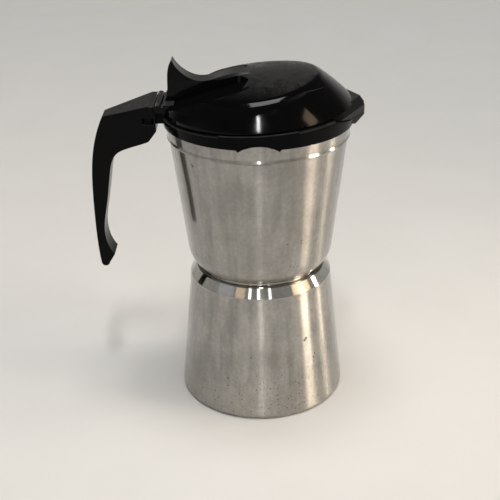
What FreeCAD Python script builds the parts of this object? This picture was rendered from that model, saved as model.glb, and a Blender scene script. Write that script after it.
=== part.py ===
"""Stovetop coffee maker: boiler, filter parts, upper vessel, collar, handle and hinged lid.

The origin is the middle of the base, +Z is up, +X points to the spout and -X to the handle.
All sizes are in millimetres.
"""
import FreeCAD, Part
import math
import os
import re

import Sketcher
from FreeCAD import Placement, Rotation, Vector

# The boiler's radius at the upper edge of the valve's boss
BOSS_WALL = ("boiler_base_radius - (boiler_base_radius - crease_radius)"
             " * (valve_height + valve_boss_radius) / crease_height")
# A size that starts with an equals sign follows other sizes.
SIZES = {
    # Boiler
    "boiler_base_radius": 50.8,
    "base_corner_radius": 2.8,
    "crease_radius": 42.6,
    "crease_height": 78.3,
    "shoulder_radius": 38.6,
    "shoulder_rise": 6.2,
    "shoulder_height": "=crease_height + shoulder_rise",
    "shoulder_round": 2.0,
    "boiler_wall": 2.0,
    "neck_radius": 37.0,
    "neck_wall": 3.0,
    "neck_rise": 10.5,
    "neck_top": "=shoulder_height + neck_rise",
    # Safety valve
    "valve_height": 50.0,
    "valve_boss_radius": 10.0,
    "valve_boss_face": 47.0,
    "valve_boss_margin": 0.1165,
    "valve_boss_depth": f"=valve_boss_face - ({BOSS_WALL} - boiler_wall - valve_boss_margin)",
    "valve_stem_radius": 5.0,
    "valve_hex_width": 14.0,
    "valve_hex_length": 8.0,
    "valve_washer_thickness": 1.2,
    "valve_nut_thickness": 4.0,
    "valve_bore_radius": 3.4,
    "valve_inlet_radius": 1.6,
    "valve_end_thickness": 1.4,
    "valve_stem_end": 0.8,
    "valve_seat_depth": 1.6,
    "plunger_stem_radius": 1.0,
    "plunger_head_thickness": 1.5,
    "plunger_projection": 1.8,
    "spring_wire_radius": 0.3,
    "spring_coil_radius": 2.2,
    "valve_fit": 0.1,
    # Funnel, gasket and filter plate
    "funnel_clearance": 0.4,
    "funnel_wall": 0.8,
    "funnel_rim_thickness": 0.8,
    "basket_floor_height": 73.0,
    "basket_cone_height": 62.0,
    "stem_radius": 6.0,
    "stem_end_height": 8.0,
    "sieve_thickness": 0.8,
    "sieve_hole_radius": 0.9,
    "gasket_thickness": 3.5,
    "gasket_width": 7.0,
    "filter_plate_thickness": 0.8,
    "seat_gap": 0.05,
    # Upper vessel, column and cap
    "thread_clearance": 0.4,
    "vessel_gap": 1.5,
    "vessel_bottom": "=shoulder_height + vessel_gap",
    "vessel_bottom_land": 0.9,
    "vessel_bottom_round": 1.5,
    "vessel_corner_rise": 6.0,
    "vessel_corner_round": 16.0,
    "vessel_low_radius": 42.8,
    "vessel_rim_radius": 53.5,
    "vessel_height": 90.8,
    "vessel_rim_height": "=vessel_bottom + vessel_height",
    "vessel_wall": 2.0,
    "vessel_floor_thickness": 3.0,
    "brew_chamber_radius": 26.0,
    "brew_chamber_depth": 1.4,
    "bead_drop": 12.4,
    "bead_height": "=vessel_rim_height - bead_drop",
    "bead_length": 2.7,
    "bead_rise": 0.5,
    "column_spigot_radius": 6.0,
    "column_flange_radius": 13.0,
    "column_flange_thickness": 1.6,
    "column_base_radius": 9.0,
    "column_top_radius": 6.0,
    "column_bore_radius": 4.2,
    "column_height": 46.0,
    "cap_wall": 1.2,
    "cap_grip": 6.0,
    "cap_outlet_radius": 1.6,
    "cap_outlet_height": 2.4,
    "cap_top_height": 5.6,
    "cap_top_bevel": 2.0,
    "cap_fit": 0.1,
    # Collar, from the vessel's rim
    "collar_fit": 0.1,
    "collar_foot_drop": 3.1,
    "collar_rise": 4.1,
    "collar_foot_wall": 0.9,
    "collar_wall": 2.0,
    "collar_ledge": 3.6,
    "collar_upstand": 0.8,
    "collar_upstand_thickness": 1.3,
    "top_slope": 2.3,
    "pad_span": 45.0,
    "pad_rise": 0.9,
    "pad_step": 0.35,
    "arch_width": 20.0,
    "arch_rise": 2.8,
    "arch_foot_radius": 2.2,
    "arch_foot_rise": 1.3,
    # Pouring lip
    "lip_length": 5.1,
    "lip_tip_radius": 4.0,
    "lip_tip_drop": 1.4,
    "dip_start": 15.5,
    "dip_bend": 4.5,
    "dip_bend_rise": 1.4,
    "dip_tip_rise": 0.2,
    "trough_width": 5.0,
    "trough_floor_rise": 0.8,
    "trough_fall": 1.2,
    # Tang of the collar, inside the handle, and its screw
    "tang_length": 11.7,
    "tang_root_width": 23.0,
    "tang_end_width": 15.0,
    "tang_rise": 1.4,
    "tang_thickness": 3.9,
    "tang_fit": 0.15,
    "snap_slot_setback": 1.2,
    "snap_slot_length": 6.6,
    "snap_lug_inset": 1.2,
    "screw_setback": 7.2,
    "screw_radius": 1.6,
    "screw_head_radius": 3.2,
    "screw_head_height": 2.4,
    "screw_seat_depth": 5.4,
    "screw_fit": 0.2,
    # Handle, from its root beside the collar
    "handle_root_gap": 1.8,
    "handle_root_rise": 5.1,
    "handle_root_width": 29.6,
    "handle_root_depth": 14.5,
    "handle_shelf_length": 3.7,
    "arm_length": 31.1,
    "elbow_drop": 8.0,
    "elbow_round": 2.2,
    "grip_bow": 9.1,
    "grip_bow_power": 3.4,
    "grip_straight_drop": 71.0,
    "handle_drop": 102.0,
    "heel_draw": 1.5,
    "arm_depth": 24.4,
    "arm_bend_drop": 2.0,
    "throat_length": 4.7,
    "throat_drop": 20.6,
    "grip_width": 14.0,
    "grip_top_thickness": 13.0,
    "grip_low_thickness": 5.0,
    "grip_thin_rise": 21.0,
    "hook_thickness": 9.0,
    "hook_rise": 7.5,
    "handle_edge_round": 1.2,
    # Lid hinge
    "hinge_setback": 0.5,
    "hinge_rise": 3.3,
    "knuckle_radius": 2.2,
    "middle_knuckle_width": 14.0,
    "barrel_width": 29.0,
    "pin_radius": 1.1,
    "pin_fit": 0.05,
    "pin_cover": 1.2,
    "bridge_thickness": 3.3,
    "knuckle_gap": 0.4,
    # Lid, from its lower edge
    "lid_setback": 1.5,
    "lid_wall": 2.2,
    "lid_gap": 1.2,
    "lid_haunch_inset": 8.8,
    "lid_haunch_rise": 9.5,
    "lid_brow_inset": 24.6,
    "lid_brow_rise": 21.7,
    "crown_reach": 14.0,
    "crown_rise": 19.7,
    "crown_long_radius": 145.0,
    "crown_cross_radius": 113.0,
    "crown_shift": 4.0,
    "shelf_width": 2.2,
    "shelf_drop": 0.9,
    "ledge_reach": 17.0,
    "ledge_rise": 14.8,
    "ledge_radius": 175.0,
    "brow_round": 9.0,
    "rear_bar_setback": 3.2,
    "rear_bar_depth": 6.0,
    "rear_bar_drop": 1.3,
    "rear_bar_rise": 3.6,
    # Hood over the pouring lip
    "hood_overhang": 0.4,
    "hood_tip_radius": 4.5,
    "hood_setback": 1.3,
    "hood_rise": 3.1,
    "hood_shoulder_drop": 4.4,
    "hood_draft": 3.2,
    "hood_wall": 2.0,
    "hood_gap": 0.4,
    "mouth_width": 4.6,
    "mouth_drop": 3.4,
    # Spine, thumb fin and the scoops beside them
    "spine_width": 12.0,
    "spine_start": 3.5,
    "spine_start_drop": 1.4,
    "spine_crest_reach": 15.3,
    "spine_crest_drop": 1.3,
    "valley_reach": 34.0,
    "valley_drop": 4.6,
    "fin_bend_reach": 41.6,
    "fin_bend_drop": 0.8,
    "fin_tip_reach": 47.6,
    "fin_rise": 6.8,
    "fin_tip_width": 9.0,
    "fin_back_reach": 49.8,
    "fin_heel_drop": 5.0,
    "fin_back_bow": 0.6,
    "fin_foot_drop": 1.0,
    "scoop_tip_reach": 4.9,
    "scoop_tip_offset": 14.3,
    "scoop_tip_drop": 4.0,
    "scoop_corner": 14.0,
    "scoop_flare": 6.1,
    "scoop_bulge": 0.4,
    "scoop_fall": 0.3,
    "scoop_tilt": 0.035,
}

HOLE_RINGS = 3
FIRST_RING_COUNT = 6
HEX_SIDES = 6
SPRING_TURNS = 5
OUTSIDE_STEPS = 6
CROWN_SWEEP = 40
FULL_TURN = 360
# Two lengths closer than this, in mm, are the same
SAME = 0.001

# Heights that several pieces share: the funnel's rim, the vessel's seat on the plate and its floor
RIM_TOP = "neck_top + funnel_rim_thickness"
SEAT = f"{RIM_TOP} + seat_gap + gasket_thickness + filter_plate_thickness + seat_gap"
FLOOR_TOP = f"{SEAT} + vessel_floor_thickness"

# Places that the collar, the handle and the lid share
COLLAR_LOW = "vessel_rim_height - collar_foot_drop"
COLLAR_TOP = "vessel_rim_height + collar_rise"
COLLAR_FOOT = "vessel_rim_radius + collar_foot_wall"
COLLAR_OUTER = "vessel_rim_radius + collar_wall"
COLLAR_BORE = "vessel_rim_radius - collar_ledge"
LIP_REACH = f"{COLLAR_OUTER} + lip_length"
TANG_LOW = f"{COLLAR_LOW} + tang_rise"
ROOT = f"{COLLAR_OUTER} + handle_root_gap"
ROOT_TOP = f"{COLLAR_TOP} + handle_root_rise"
SCREW_REACH = f"{ROOT} + screw_setback"
HANDLE_END = f"{ROOT_TOP} - handle_drop"
HINGE_REACH = f"{COLLAR_OUTER} + hinge_setback"
HINGE_HEIGHT = f"{COLLAR_TOP} + hinge_rise"
LID_RADIUS = f"{COLLAR_OUTER} - lid_setback"
LID_EDGE = f"{COLLAR_TOP} + collar_upstand + lid_gap"
CROWN_TOP = f"{LID_EDGE} + crown_rise"
FIN_TOP = f"{CROWN_TOP} + fin_rise"
BAR_REACH = f"{HINGE_REACH} - rear_bar_setback"
BAR_LOW = f"{LID_EDGE} - rear_bar_drop"
BAR_TOP = f"{LID_EDGE} + rear_bar_rise"
HOOD_TOP = f"{LID_EDGE} + hood_rise"

doc = FreeCAD.newDocument("coffee_maker")
sheet = doc.addObject("Spreadsheet::Sheet", "sizes")
for row, (alias, value) in enumerate(SIZES.items(), start=1):
    sheet.set(f"A{row}", alias.replace("_", " "))
    sheet.set(f"B{row}", str(value))
    sheet.setAlias(f"B{row}", alias)
doc.recompute()


def linked(text):
    """An expression in size names, written as links to the sheet's cells."""
    return re.sub(r"[a-z]\w*", lambda word: f"sizes.{word[0]}" if word[0] in SIZES else word[0], text)


def value(text):
    """The present value of an expression in size names."""
    return float(sheet.evalExpression(linked(text)))


def origin_plane(body, role):
    """One of a body's own origin planes."""
    return next(item for item in body.Origin.OriginFeatures if item.Role == role)


def new_sketch(body, name, role="XZ_Plane"):
    """An empty sketch on one of the body's origin planes."""
    sketch = body.newObject("Sketcher::SketchObject", name)
    sketch.AttachmentSupport = (origin_plane(body, role), [""])
    sketch.MapMode = "FlatFace"
    return sketch


def hold_point(sketch, geometry, position, across, up):
    """Hold one sketch point at distances from the origin that follow the sheet."""
    for kind, text, axis in (("DistanceX", across, -2), ("DistanceY", up, -1)):
        if text == "0":
            sketch.addConstraint(Sketcher.Constraint("PointOnObject", geometry, position, axis))
            continue
        rule = Sketcher.Constraint(kind, -1, 1, geometry, position, value(text))
        index = sketch.addConstraint(rule)
        sketch.setExpression(f"Constraints[{index}]", linked(text))


def outline_sketch(body, name, corners, role="XZ_Plane"):
    """A closed outline of straight lines whose corners follow the sheet."""
    sketch = new_sketch(body, name, role)
    places = [Vector(value(across), value(up), 0) for across, up in corners]
    count = len(places)
    for index, start in enumerate(places):
        sketch.addGeometry(Part.LineSegment(start, places[(index + 1) % count]), False)
    for index in range(count):
        sketch.addConstraint(Sketcher.Constraint("Coincident", index, 2, (index + 1) % count, 1))
    for index, (across, up) in enumerate(corners):
        hold_point(sketch, index, 1, across, up)
    return sketch


def circle_sketch(body, name, radius, across, up, role="XZ_Plane"):
    """A circle whose centre and radius follow the sheet."""
    sketch = new_sketch(body, name, role)
    centre = Vector(value(across), value(up), 0)
    sketch.addGeometry(Part.Circle(centre, Vector(0, 0, 1), value(radius)), False)
    hold_point(sketch, 0, 3, across, up)
    index = sketch.addConstraint(Sketcher.Constraint("Radius", 0, value(radius)))
    sketch.setExpression(f"Constraints[{index}]", linked(radius))
    return sketch


def new_body(label):
    """An empty body whose label names its node."""
    body = doc.addObject("PartDesign::Body", label)
    body.Label = label
    return body


def turned_body(label, corners):
    """A body turned from an outline of (radius, height) corners about Z."""
    body = new_body(label)
    sketch = outline_sketch(body, f"{label}_outline", corners)
    turn = body.newObject("PartDesign::Revolution", f"{label}_turn")
    turn.Profile = sketch
    turn.ReferenceAxis = (sketch, ["V_Axis"])
    turn.Angle = FULL_TURN
    doc.recompute()
    return body


def round_rings(body, radius, rings):
    """Round the body's circular edges at the given (radius, height) places."""
    wanted = [(value(ring), value(height)) for ring, height in rings]
    base = body.Tip
    names = []
    for index, edge in enumerate(base.Shape.Edges, start=1):
        curve = edge.Curve
        if not isinstance(curve, Part.Circle):
            continue
        for ring, height in wanted:
            if math.hypot(curve.Radius - ring, curve.Center.z - height) < SAME:
                names.append(f"Edge{index}")
    fillet = body.newObject("PartDesign::Fillet", f"{body.Name}_round")
    fillet.Base = (base, names)
    fillet.setExpression("Radius", linked(radius))
    doc.recompute()
    return fillet


def add_feature(body, kind, name, sketch, length, reverse):
    """A pad or pocket of one sketch, with its length tied to the sheet."""
    feature = body.newObject(f"PartDesign::{kind}", name)
    feature.Profile = sketch
    feature.setExpression("Length", linked(length))
    feature.Reversed = reverse
    doc.recompute()
    return feature


def shift_sketch(sketch, distance):
    """Move a sketch along its own plane's normal by a distance that follows the sheet."""
    sketch.setExpression("AttachmentOffset.Base.z", linked(distance))


def perforate(body, hole_radius, ring_step):
    """Cut rings of round holes through a plate, evenly spaced in each ring."""
    for ring in range(1, HOLE_RINGS + 1):
        name = f"{body.Name}_hole_{ring}"
        offset = f"({ring_step}) * {ring}"
        sketch = circle_sketch(body, f"{name}_circle", hole_radius, offset, "0", "XY_Plane")
        pocket = body.newObject("PartDesign::Pocket", name)
        pocket.Profile = sketch
        pocket.Type = "ThroughAll"
        pocket.Reversed = True
        doc.recompute()
        pattern = body.newObject("PartDesign::PolarPattern", f"{name}_ring")
        pattern.Originals = [pocket]
        pattern.Axis = (sketch, ["N_Axis"])
        pattern.Angle = FULL_TURN
        pattern.Occurrences = FIRST_RING_COUNT * ring
        body.Tip = pattern
        doc.recompute()


def raise_body(body, height):
    """Set a body at a height that follows the sheet."""
    body.setExpression("Placement.Base.z", linked(height))


def make_boiler():
    """Drawn pot with a rounded base, a sloping shoulder, a neck and a flat boss for the valve."""
    body = turned_body("boiler", [
        ("0", "0"),
        ("boiler_base_radius", "0"),
        ("crease_radius", "crease_height"),
        ("shoulder_radius", "shoulder_height"),
        ("neck_radius", "shoulder_height"),
        ("neck_radius", "neck_top"),
        ("neck_radius - neck_wall", "neck_top"),
        ("neck_radius - neck_wall", "shoulder_height - boiler_wall"),
        ("crease_radius - boiler_wall", "crease_height - boiler_wall / 2"),
        ("boiler_base_radius - boiler_wall", "boiler_wall"),
        ("0", "boiler_wall"),
    ])
    boss = circle_sketch(body, "valve_boss_circle", "valve_boss_radius", "0", "valve_height")
    shift_sketch(boss, "-valve_boss_face")
    add_feature(body, "Pad", "valve_boss", boss, "valve_boss_depth", False)
    hole = circle_sketch(body, "valve_hole_circle", "valve_stem_radius + valve_fit", "0", "valve_height")
    shift_sketch(hole, "-valve_boss_face")
    add_feature(body, "Pocket", "valve_hole", hole, "valve_boss_depth", True)
    round_rings(body, "base_corner_radius", [("boiler_base_radius", "0")])
    round_rings(body, "shoulder_round", [("shoulder_radius", "shoulder_height")])


def make_funnel():
    """Basket that hangs by its rim in the boiler's neck, with a cone and a stem below."""
    outside = "neck_radius - neck_wall - funnel_clearance"
    inside = f"{outside} - funnel_wall"
    turned_body("coffee_funnel", [
        (inside, RIM_TOP),
        ("neck_radius - funnel_clearance", RIM_TOP),
        ("neck_radius - funnel_clearance", "neck_top"),
        (outside, "neck_top"),
        (outside, "basket_floor_height"),
        ("stem_radius", "basket_cone_height"),
        ("stem_radius", "stem_end_height"),
        ("stem_radius - funnel_wall", "stem_end_height"),
        ("stem_radius - funnel_wall", "basket_cone_height + funnel_wall"),
        (inside, "basket_floor_height + funnel_wall"),
    ])
    sieve = turned_body("funnel_sieve", [
        ("0", "0"),
        (f"{inside} - valve_fit", "0"),
        (f"{inside} - valve_fit", "sieve_thickness"),
        ("0", "sieve_thickness"),
    ])
    perforate(sieve, "sieve_hole_radius", f"({inside}) / {HOLE_RINGS + 1}")
    raise_body(sieve, "basket_floor_height + funnel_wall + seat_gap")


def make_seal():
    """Rubber gasket and perforated filter plate that the vessel presses on the funnel's rim."""
    outside = "neck_radius - funnel_clearance"
    gasket = turned_body("gasket", [
        (f"{outside} - gasket_width", "0"),
        (outside, "0"),
        (outside, "gasket_thickness"),
        (f"{outside} - gasket_width", "gasket_thickness"),
    ])
    raise_body(gasket, f"{RIM_TOP} + seat_gap")
    plate = turned_body("filter_plate", [
        ("0", "0"),
        (outside, "0"),
        (outside, "filter_plate_thickness"),
        ("0", "filter_plate_thickness"),
    ])
    perforate(plate, "sieve_hole_radius", f"({outside} - gasket_width) / {HOLE_RINGS + 1}")
    raise_body(plate, f"{RIM_TOP} + seat_gap + gasket_thickness")


def vessel_radius(height):
    """The vessel's outer radius at a height below its bead, as an expression."""
    foot = "(vessel_bottom + vessel_corner_rise)"
    spread = "(vessel_rim_radius - bead_rise - vessel_low_radius)"
    return f"vessel_low_radius + {spread} * ({height} - {foot}) / (vessel_rim_height - {foot})"


def make_vessel():
    """Flared upper pot: a threaded skirt below, a floor over the filter plate and a bead under the rim."""
    skirt = "neck_radius + thread_clearance"
    bead_middle = "bead_height + bead_length / 2"
    bead_end = "bead_height + bead_length"
    hole = "column_spigot_radius + cap_fit"
    body = turned_body("upper_vessel", [
        (skirt, "vessel_bottom"),
        (f"{skirt} + vessel_bottom_land", "vessel_bottom"),
        ("vessel_low_radius", "vessel_bottom + vessel_corner_rise"),
        (vessel_radius("bead_height"), "bead_height"),
        (f"{vessel_radius(bead_middle)} + 2 * bead_rise", bead_middle),
        (f"{vessel_radius(bead_end)} + bead_rise", bead_end),
        ("vessel_rim_radius", "vessel_rim_height"),
        ("vessel_rim_radius - vessel_wall", "vessel_rim_height"),
        (f"{vessel_radius(FLOOR_TOP)} - vessel_wall", FLOOR_TOP),
        (hole, FLOOR_TOP),
        (hole, f"{SEAT} + brew_chamber_depth"),
        ("brew_chamber_radius", f"{SEAT} + brew_chamber_depth"),
        ("brew_chamber_radius + brew_chamber_depth", SEAT),
        (skirt, SEAT),
    ])
    round_rings(body, "vessel_bottom_round", [(f"{skirt} + vessel_bottom_land", "vessel_bottom")])
    round_rings(body, "vessel_corner_round", [("vessel_low_radius", "vessel_bottom + vessel_corner_rise")])


def make_column():
    """Riser tube on the vessel's floor, and the cap whose side outlets turn the coffee down."""
    top = f"{FLOOR_TOP} + column_height"
    flange_top = f"{FLOOR_TOP} + column_flange_thickness"
    turned_body("column", [
        ("column_bore_radius", f"{SEAT} + brew_chamber_depth"),
        ("column_spigot_radius", f"{SEAT} + brew_chamber_depth"),
        ("column_spigot_radius", FLOOR_TOP),
        ("column_flange_radius", FLOOR_TOP),
        ("column_flange_radius", flange_top),
        ("column_base_radius", flange_top),
        ("column_top_radius", f"{top} - cap_grip"),
        ("column_top_radius", top),
        ("column_bore_radius", top),
    ])
    grip = "column_top_radius + cap_fit"
    cap_top = f"{top} + cap_top_height"
    cap = turned_body("column_cap", [
        (grip, f"{top} - cap_grip"),
        (f"{grip} + cap_wall", f"{top} - cap_grip"),
        (f"{grip} + cap_wall", f"{cap_top} - cap_top_bevel"),
        (f"{grip} + cap_wall - cap_top_bevel", cap_top),
        ("0", cap_top),
        ("0", f"{cap_top} - cap_wall"),
        ("column_bore_radius", f"{cap_top} - cap_wall"),
        ("column_bore_radius", top),
        (grip, top),
    ])
    outlet = circle_sketch(cap, "cap_outlet_circle", "cap_outlet_radius", "0", f"{top} + cap_outlet_height")
    pocket = add_feature(cap, "Pocket", "cap_outlets", outlet, f"2 * ({grip} + cap_wall)", False)
    pocket.Midplane = True
    doc.recompute()


def hex_prism(body, base, length):
    """A hexagon bar on the body's axis, from a base height."""
    prism = body.newObject("PartDesign::AdditivePrism", f"{body.Name}_hex")
    prism.AttachmentSupport = (origin_plane(body, "XY_Plane"), [""])
    prism.MapMode = "FlatFace"
    prism.Polygon = HEX_SIDES
    prism.setExpression("Circumradius", linked("valve_hex_width / 2 / cos(30 deg)"))
    prism.setExpression("Height", linked(length))
    prism.setExpression("AttachmentOffset.Base.z", linked(base))
    doc.recompute()
    return prism


def bored(body, corners):
    """Cut an outline of (radius, height) corners out of a body, all round its axis."""
    sketch = outline_sketch(body, f"{body.Name}_bore_outline", corners)
    groove = body.newObject("PartDesign::Groove", f"{body.Name}_bore")
    groove.Profile = sketch
    groove.ReferenceAxis = (sketch, ["V_Axis"])
    groove.Angle = FULL_TURN
    doc.recompute()
    return groove


def place_on_valve_axis(item, distance="0"):
    """Turn an item's Z to point out of the boiler's back and set it on the valve's axis."""
    item.Placement = Placement(Vector(0, 0, 0), Rotation(Vector(1, 0, 0), -90))
    start = "valve_boss_face - valve_boss_depth - valve_nut_thickness - valve_stem_end"
    item.setExpression("Placement.Base.y", linked(f"{start} + {distance}"))
    item.setExpression("Placement.Base.z", linked("valve_height"))


def make_valve():
    """Safety valve: hexagon body through the boss, washer outside, nut inside, sprung plunger."""
    boss_face = "valve_stem_end + valve_nut_thickness + valve_boss_depth"
    hex_base = f"{boss_face} + valve_washer_thickness"
    hex_end = f"{hex_base} + valve_hex_length"
    seat = f"{boss_face} - valve_seat_depth"
    body = turned_body("valve_body", [
        ("0", "0"),
        ("valve_stem_radius", "0"),
        ("valve_stem_radius", hex_base),
        ("0", hex_base),
    ])
    hex_prism(body, hex_base, "valve_hex_length")
    exit_radius = "plunger_stem_radius + valve_fit"
    bored(body, [
        ("0", "0"),
        ("valve_inlet_radius", "0"),
        ("valve_inlet_radius", seat),
        ("valve_bore_radius", seat),
        ("valve_bore_radius", f"{hex_end} - valve_end_thickness"),
        (exit_radius, f"{hex_end} - valve_end_thickness"),
        (exit_radius, hex_end),
        ("0", hex_end),
    ])
    place_on_valve_axis(body)
    nut = new_body("valve_nut")
    hex_prism(nut, "0", "valve_nut_thickness")
    bored(nut, [
        ("0", "0"),
        ("valve_stem_radius + valve_fit", "0"),
        ("valve_stem_radius + valve_fit", "valve_nut_thickness"),
        ("0", "valve_nut_thickness"),
    ])
    place_on_valve_axis(nut, "valve_stem_end")
    washer = turned_body("valve_washer", [
        ("valve_stem_radius + valve_fit", "0"),
        ("valve_boss_radius - valve_washer_thickness", "0"),
        ("valve_boss_radius - valve_washer_thickness", "valve_washer_thickness"),
        ("valve_stem_radius + valve_fit", "valve_washer_thickness"),
    ])
    place_on_valve_axis(washer, boss_face)
    head_radius = "valve_bore_radius - 3 * valve_fit"
    tip = f"{hex_end} - ({seat}) - seat_gap + plunger_projection"
    plunger = turned_body("valve_plunger", [
        ("0", "0"),
        (head_radius, "0"),
        (head_radius, "plunger_head_thickness"),
        ("plunger_stem_radius", "plunger_head_thickness"),
        ("plunger_stem_radius", tip),
        ("0", tip),
    ])
    place_on_valve_axis(plunger, f"{seat} + seat_gap")
    low = f"{seat} + 2 * seat_gap + plunger_head_thickness + spring_wire_radius"
    high = f"{hex_end} - valve_end_thickness - seat_gap - spring_wire_radius"
    spring = doc.addObject("Part::Feature", "valve_spring")
    spring.Label = "valve_spring"
    length = value(f"({high}) - ({low})")
    spring.Shape = coil(value("spring_coil_radius"), value("spring_wire_radius"), length)
    place_on_valve_axis(spring, low)


def biarc(start, start_way, end, end_way):
    """Two arcs that join two points and keep the given unit directions at both."""
    chord = end - start
    turn = 2 * (start_way.dot(end_way) - 1)
    along = chord.dot(start_way + end_way)
    reach = (along - math.sqrt(along ** 2 - turn * chord.dot(chord))) / turn
    first = start + start_way * reach
    second = end - end_way * reach
    middle = (first + second) * 0.5

    def arc(begin, corner, finish):
        weight = (finish - begin).Length / 2 / (corner - begin).Length
        crown = (begin + corner * (2 * weight) + finish) * (1 / (2 + 2 * weight))
        return Part.Arc(begin, crown, finish).toShape()

    return [arc(start, first, middle), arc(middle, second, end)]


def coil(radius, wire_radius, length):
    """A round wire wound evenly about Z, as one unbroken tube."""
    climb = length / (2 * math.pi * SPRING_TURNS)

    def place(angle):
        return Vector(radius * math.cos(angle), radius * math.sin(angle), climb * angle)

    def way(angle):
        return Vector(-radius * math.sin(angle), radius * math.cos(angle), climb).normalize()

    quarter = math.pi / 2
    edges = []
    for step in range(4 * SPRING_TURNS):
        angle = quarter * step
        edges += biarc(place(angle), way(angle), place(angle + quarter), way(angle + quarter))
    ring = Part.Wire(Part.Circle(place(0), way(0), wire_radius).toShape())
    gap = 2 * math.pi * climb - 2 * wire_radius
    print(f"valve_spring: gap between turns {gap:.2f} mm")
    return Part.Wire(edges).makePipeShell([ring], True, False)


def solid_feature(label, shape):
    """A document object that holds one finished solid."""
    item = doc.addObject("Part::Feature", label)
    item.Label = label
    item.Shape = shape
    return item


def extruded(points, way):
    """A solid swept straight from a closed outline of points."""
    return Part.Face(Part.makePolygon(points + points[:1])).extrude(way)


def side_cut(corners, width):
    """A solid that spans the middle plane evenly, from an outline of (x, z) corners."""
    points = [Vector(across, -width / 2, up) for across, up in corners]
    return extruded(points, Vector(0, width, 0))


def across_bar(radius, width, reach, height):
    """A round bar along Y, centred on the middle plane."""
    return Part.makeCylinder(radius, width, Vector(reach, -width / 2, height), Vector(0, 1, 0))


def under_plane(height):
    """Everything below a plane that rises towards the spout by the collar's slope."""
    reach = 4 * value(COLLAR_OUTER)
    block = Part.makeBox(2 * reach, 2 * reach, reach, Vector(-reach, -reach, -reach))
    block.Placement = Placement(Vector(0, 0, height), Rotation(Vector(0, 1, 0), -value("top_slope")))
    return block


def ring_solid(corners):
    """A ring turned about Z from (radius, height) corners."""
    points = [Vector(radius, 0, height) for radius, height in corners]
    section = Part.Face(Part.makePolygon(points + points[:1]))
    return section.revolve(Vector(0, 0, 0), Vector(0, 0, 1), FULL_TURN)


def teardrop_wire(radius, tip_reach, tip_radius, height):
    """The outline of a circle drawn out to a rounded tip on +X by the two common tangents."""
    tip = tip_reach - tip_radius
    slant = math.acos((radius - tip_radius) / tip)
    near = Vector(radius * math.cos(slant), radius * math.sin(slant), height)
    far = Vector(tip + tip_radius * math.cos(slant), tip_radius * math.sin(slant), height)
    mirrored = [Vector(point.x, -point.y, height) for point in (near, far)]
    return Part.Wire([
        Part.Arc(mirrored[0], Vector(-radius, 0, height), near).toShape(),
        Part.LineSegment(near, far).toShape(),
        Part.Arc(far, Vector(tip_reach, 0, height), mirrored[1]).toShape(),
        Part.LineSegment(mirrored[1], mirrored[0]).toShape(),
    ])


def teardrop(radius, tip_reach, tip_radius, low, high):
    """A plate with a teardrop's outline, between two heights."""
    return Part.Face(teardrop_wire(radius, tip_reach, tip_radius, low)).extrude(Vector(0, 0, high - low))


def vessel_outside(grown):
    """The vessel's flared outside near its rim, grown by a clearance, as a solid cone."""
    low = value("bead_height + bead_length")
    high = value("vessel_rim_height")
    low_radius = value(f"{vessel_radius('(bead_height + bead_length)')} + bead_rise")
    rim = value("vessel_rim_radius")
    return Part.makeCone(low_radius + grown, rim + grown, high - low, Vector(0, 0, low))


def tang_block(grown):
    """The tapered tongue behind the collar that the handle slides over, grown by a clearance."""
    start = -value(COLLAR_BORE)
    root_reach = -value(ROOT)
    end = -value(f"{ROOT} + tang_length") - grown
    root = value("tang_root_width") / 2 + grown
    tip = value("tang_end_width") / 2 + grown
    low = value(TANG_LOW) - grown
    outline = [
        Vector(start, -root, low),
        Vector(root_reach, -root, low),
        Vector(end, -tip, low),
        Vector(end, tip, low),
        Vector(root_reach, root, low),
        Vector(start, root, low),
    ]
    return extruded(outline, Vector(0, 0, value("tang_thickness") + 2 * grown))


def slot_box(inset):
    """The window through the handle's sides beside the tang, shrunk by an inset."""
    length = value("snap_slot_length")
    width = value("handle_root_width")
    corner = Vector(-value(f"{ROOT} + snap_slot_setback") - length + inset, -width / 2, value(TANG_LOW))
    return Part.makeBox(length - 2 * inset, width, value("tang_thickness"), corner)


def over_dip(raised):
    """Everything above the collar's dip at the spout, raised by a gap."""
    rim = value("vessel_rim_height") + raised
    far = 2 * value(LIP_REACH)
    start = value(f"{COLLAR_OUTER} - dip_start")
    bend = value(f"{COLLAR_OUTER} - dip_bend")
    slope = math.tan(math.radians(value("top_slope")))
    top = value(f"{COLLAR_TOP} + collar_upstand") + start * slope + raised
    bend_height = rim + value("dip_bend_rise")
    fall = value("dip_bend_rise - dip_tip_rise") / (value(LIP_REACH) - bend)
    return side_cut([
        (start, top),
        (bend, bend_height),
        (far, bend_height - fall * (far - bend)),
        (far, far + top),
        (start, far + top),
    ], 2 * far)


def collar_ring():
    """The collar's band, upstand and lip, before its pads, tang and cuts."""
    seat = value("vessel_rim_height + seat_gap")
    rim = value("vessel_rim_radius")
    bore = value(COLLAR_BORE)
    low = value(COLLAR_LOW)
    top = value(COLLAR_TOP)
    outer = value(COLLAR_OUTER)
    foot = value(COLLAR_FOOT)
    over = top + outer
    outside = [(rim, low), (foot, low), (outer, top), (outer, over)]
    band = ring_solid(outside + [(bore, over), (bore, seat), (rim, seat)])
    reach = value(LIP_REACH)
    lip = teardrop(foot, reach, value("lip_tip_radius"), low, over)
    tip_low = value("vessel_rim_height - lip_tip_drop")
    far_low = tip_low + (tip_low - low) / (reach - foot) * reach
    underside = [(bore, seat), (foot, low), (2 * reach, far_low)]
    under_lip = side_cut(underside + [(2 * reach, over), (bore, over)], 2 * outer)
    ring = band.fuse(lip.common(under_lip)).common(under_plane(top))
    step = bore + value("collar_upstand_thickness")
    upstand = ring_solid([(bore, seat), (step, seat), (step, over), (bore, over)])
    return ring.fuse(upstand.common(under_plane(top + value("collar_upstand")))).cut(over_dip(0))


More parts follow.
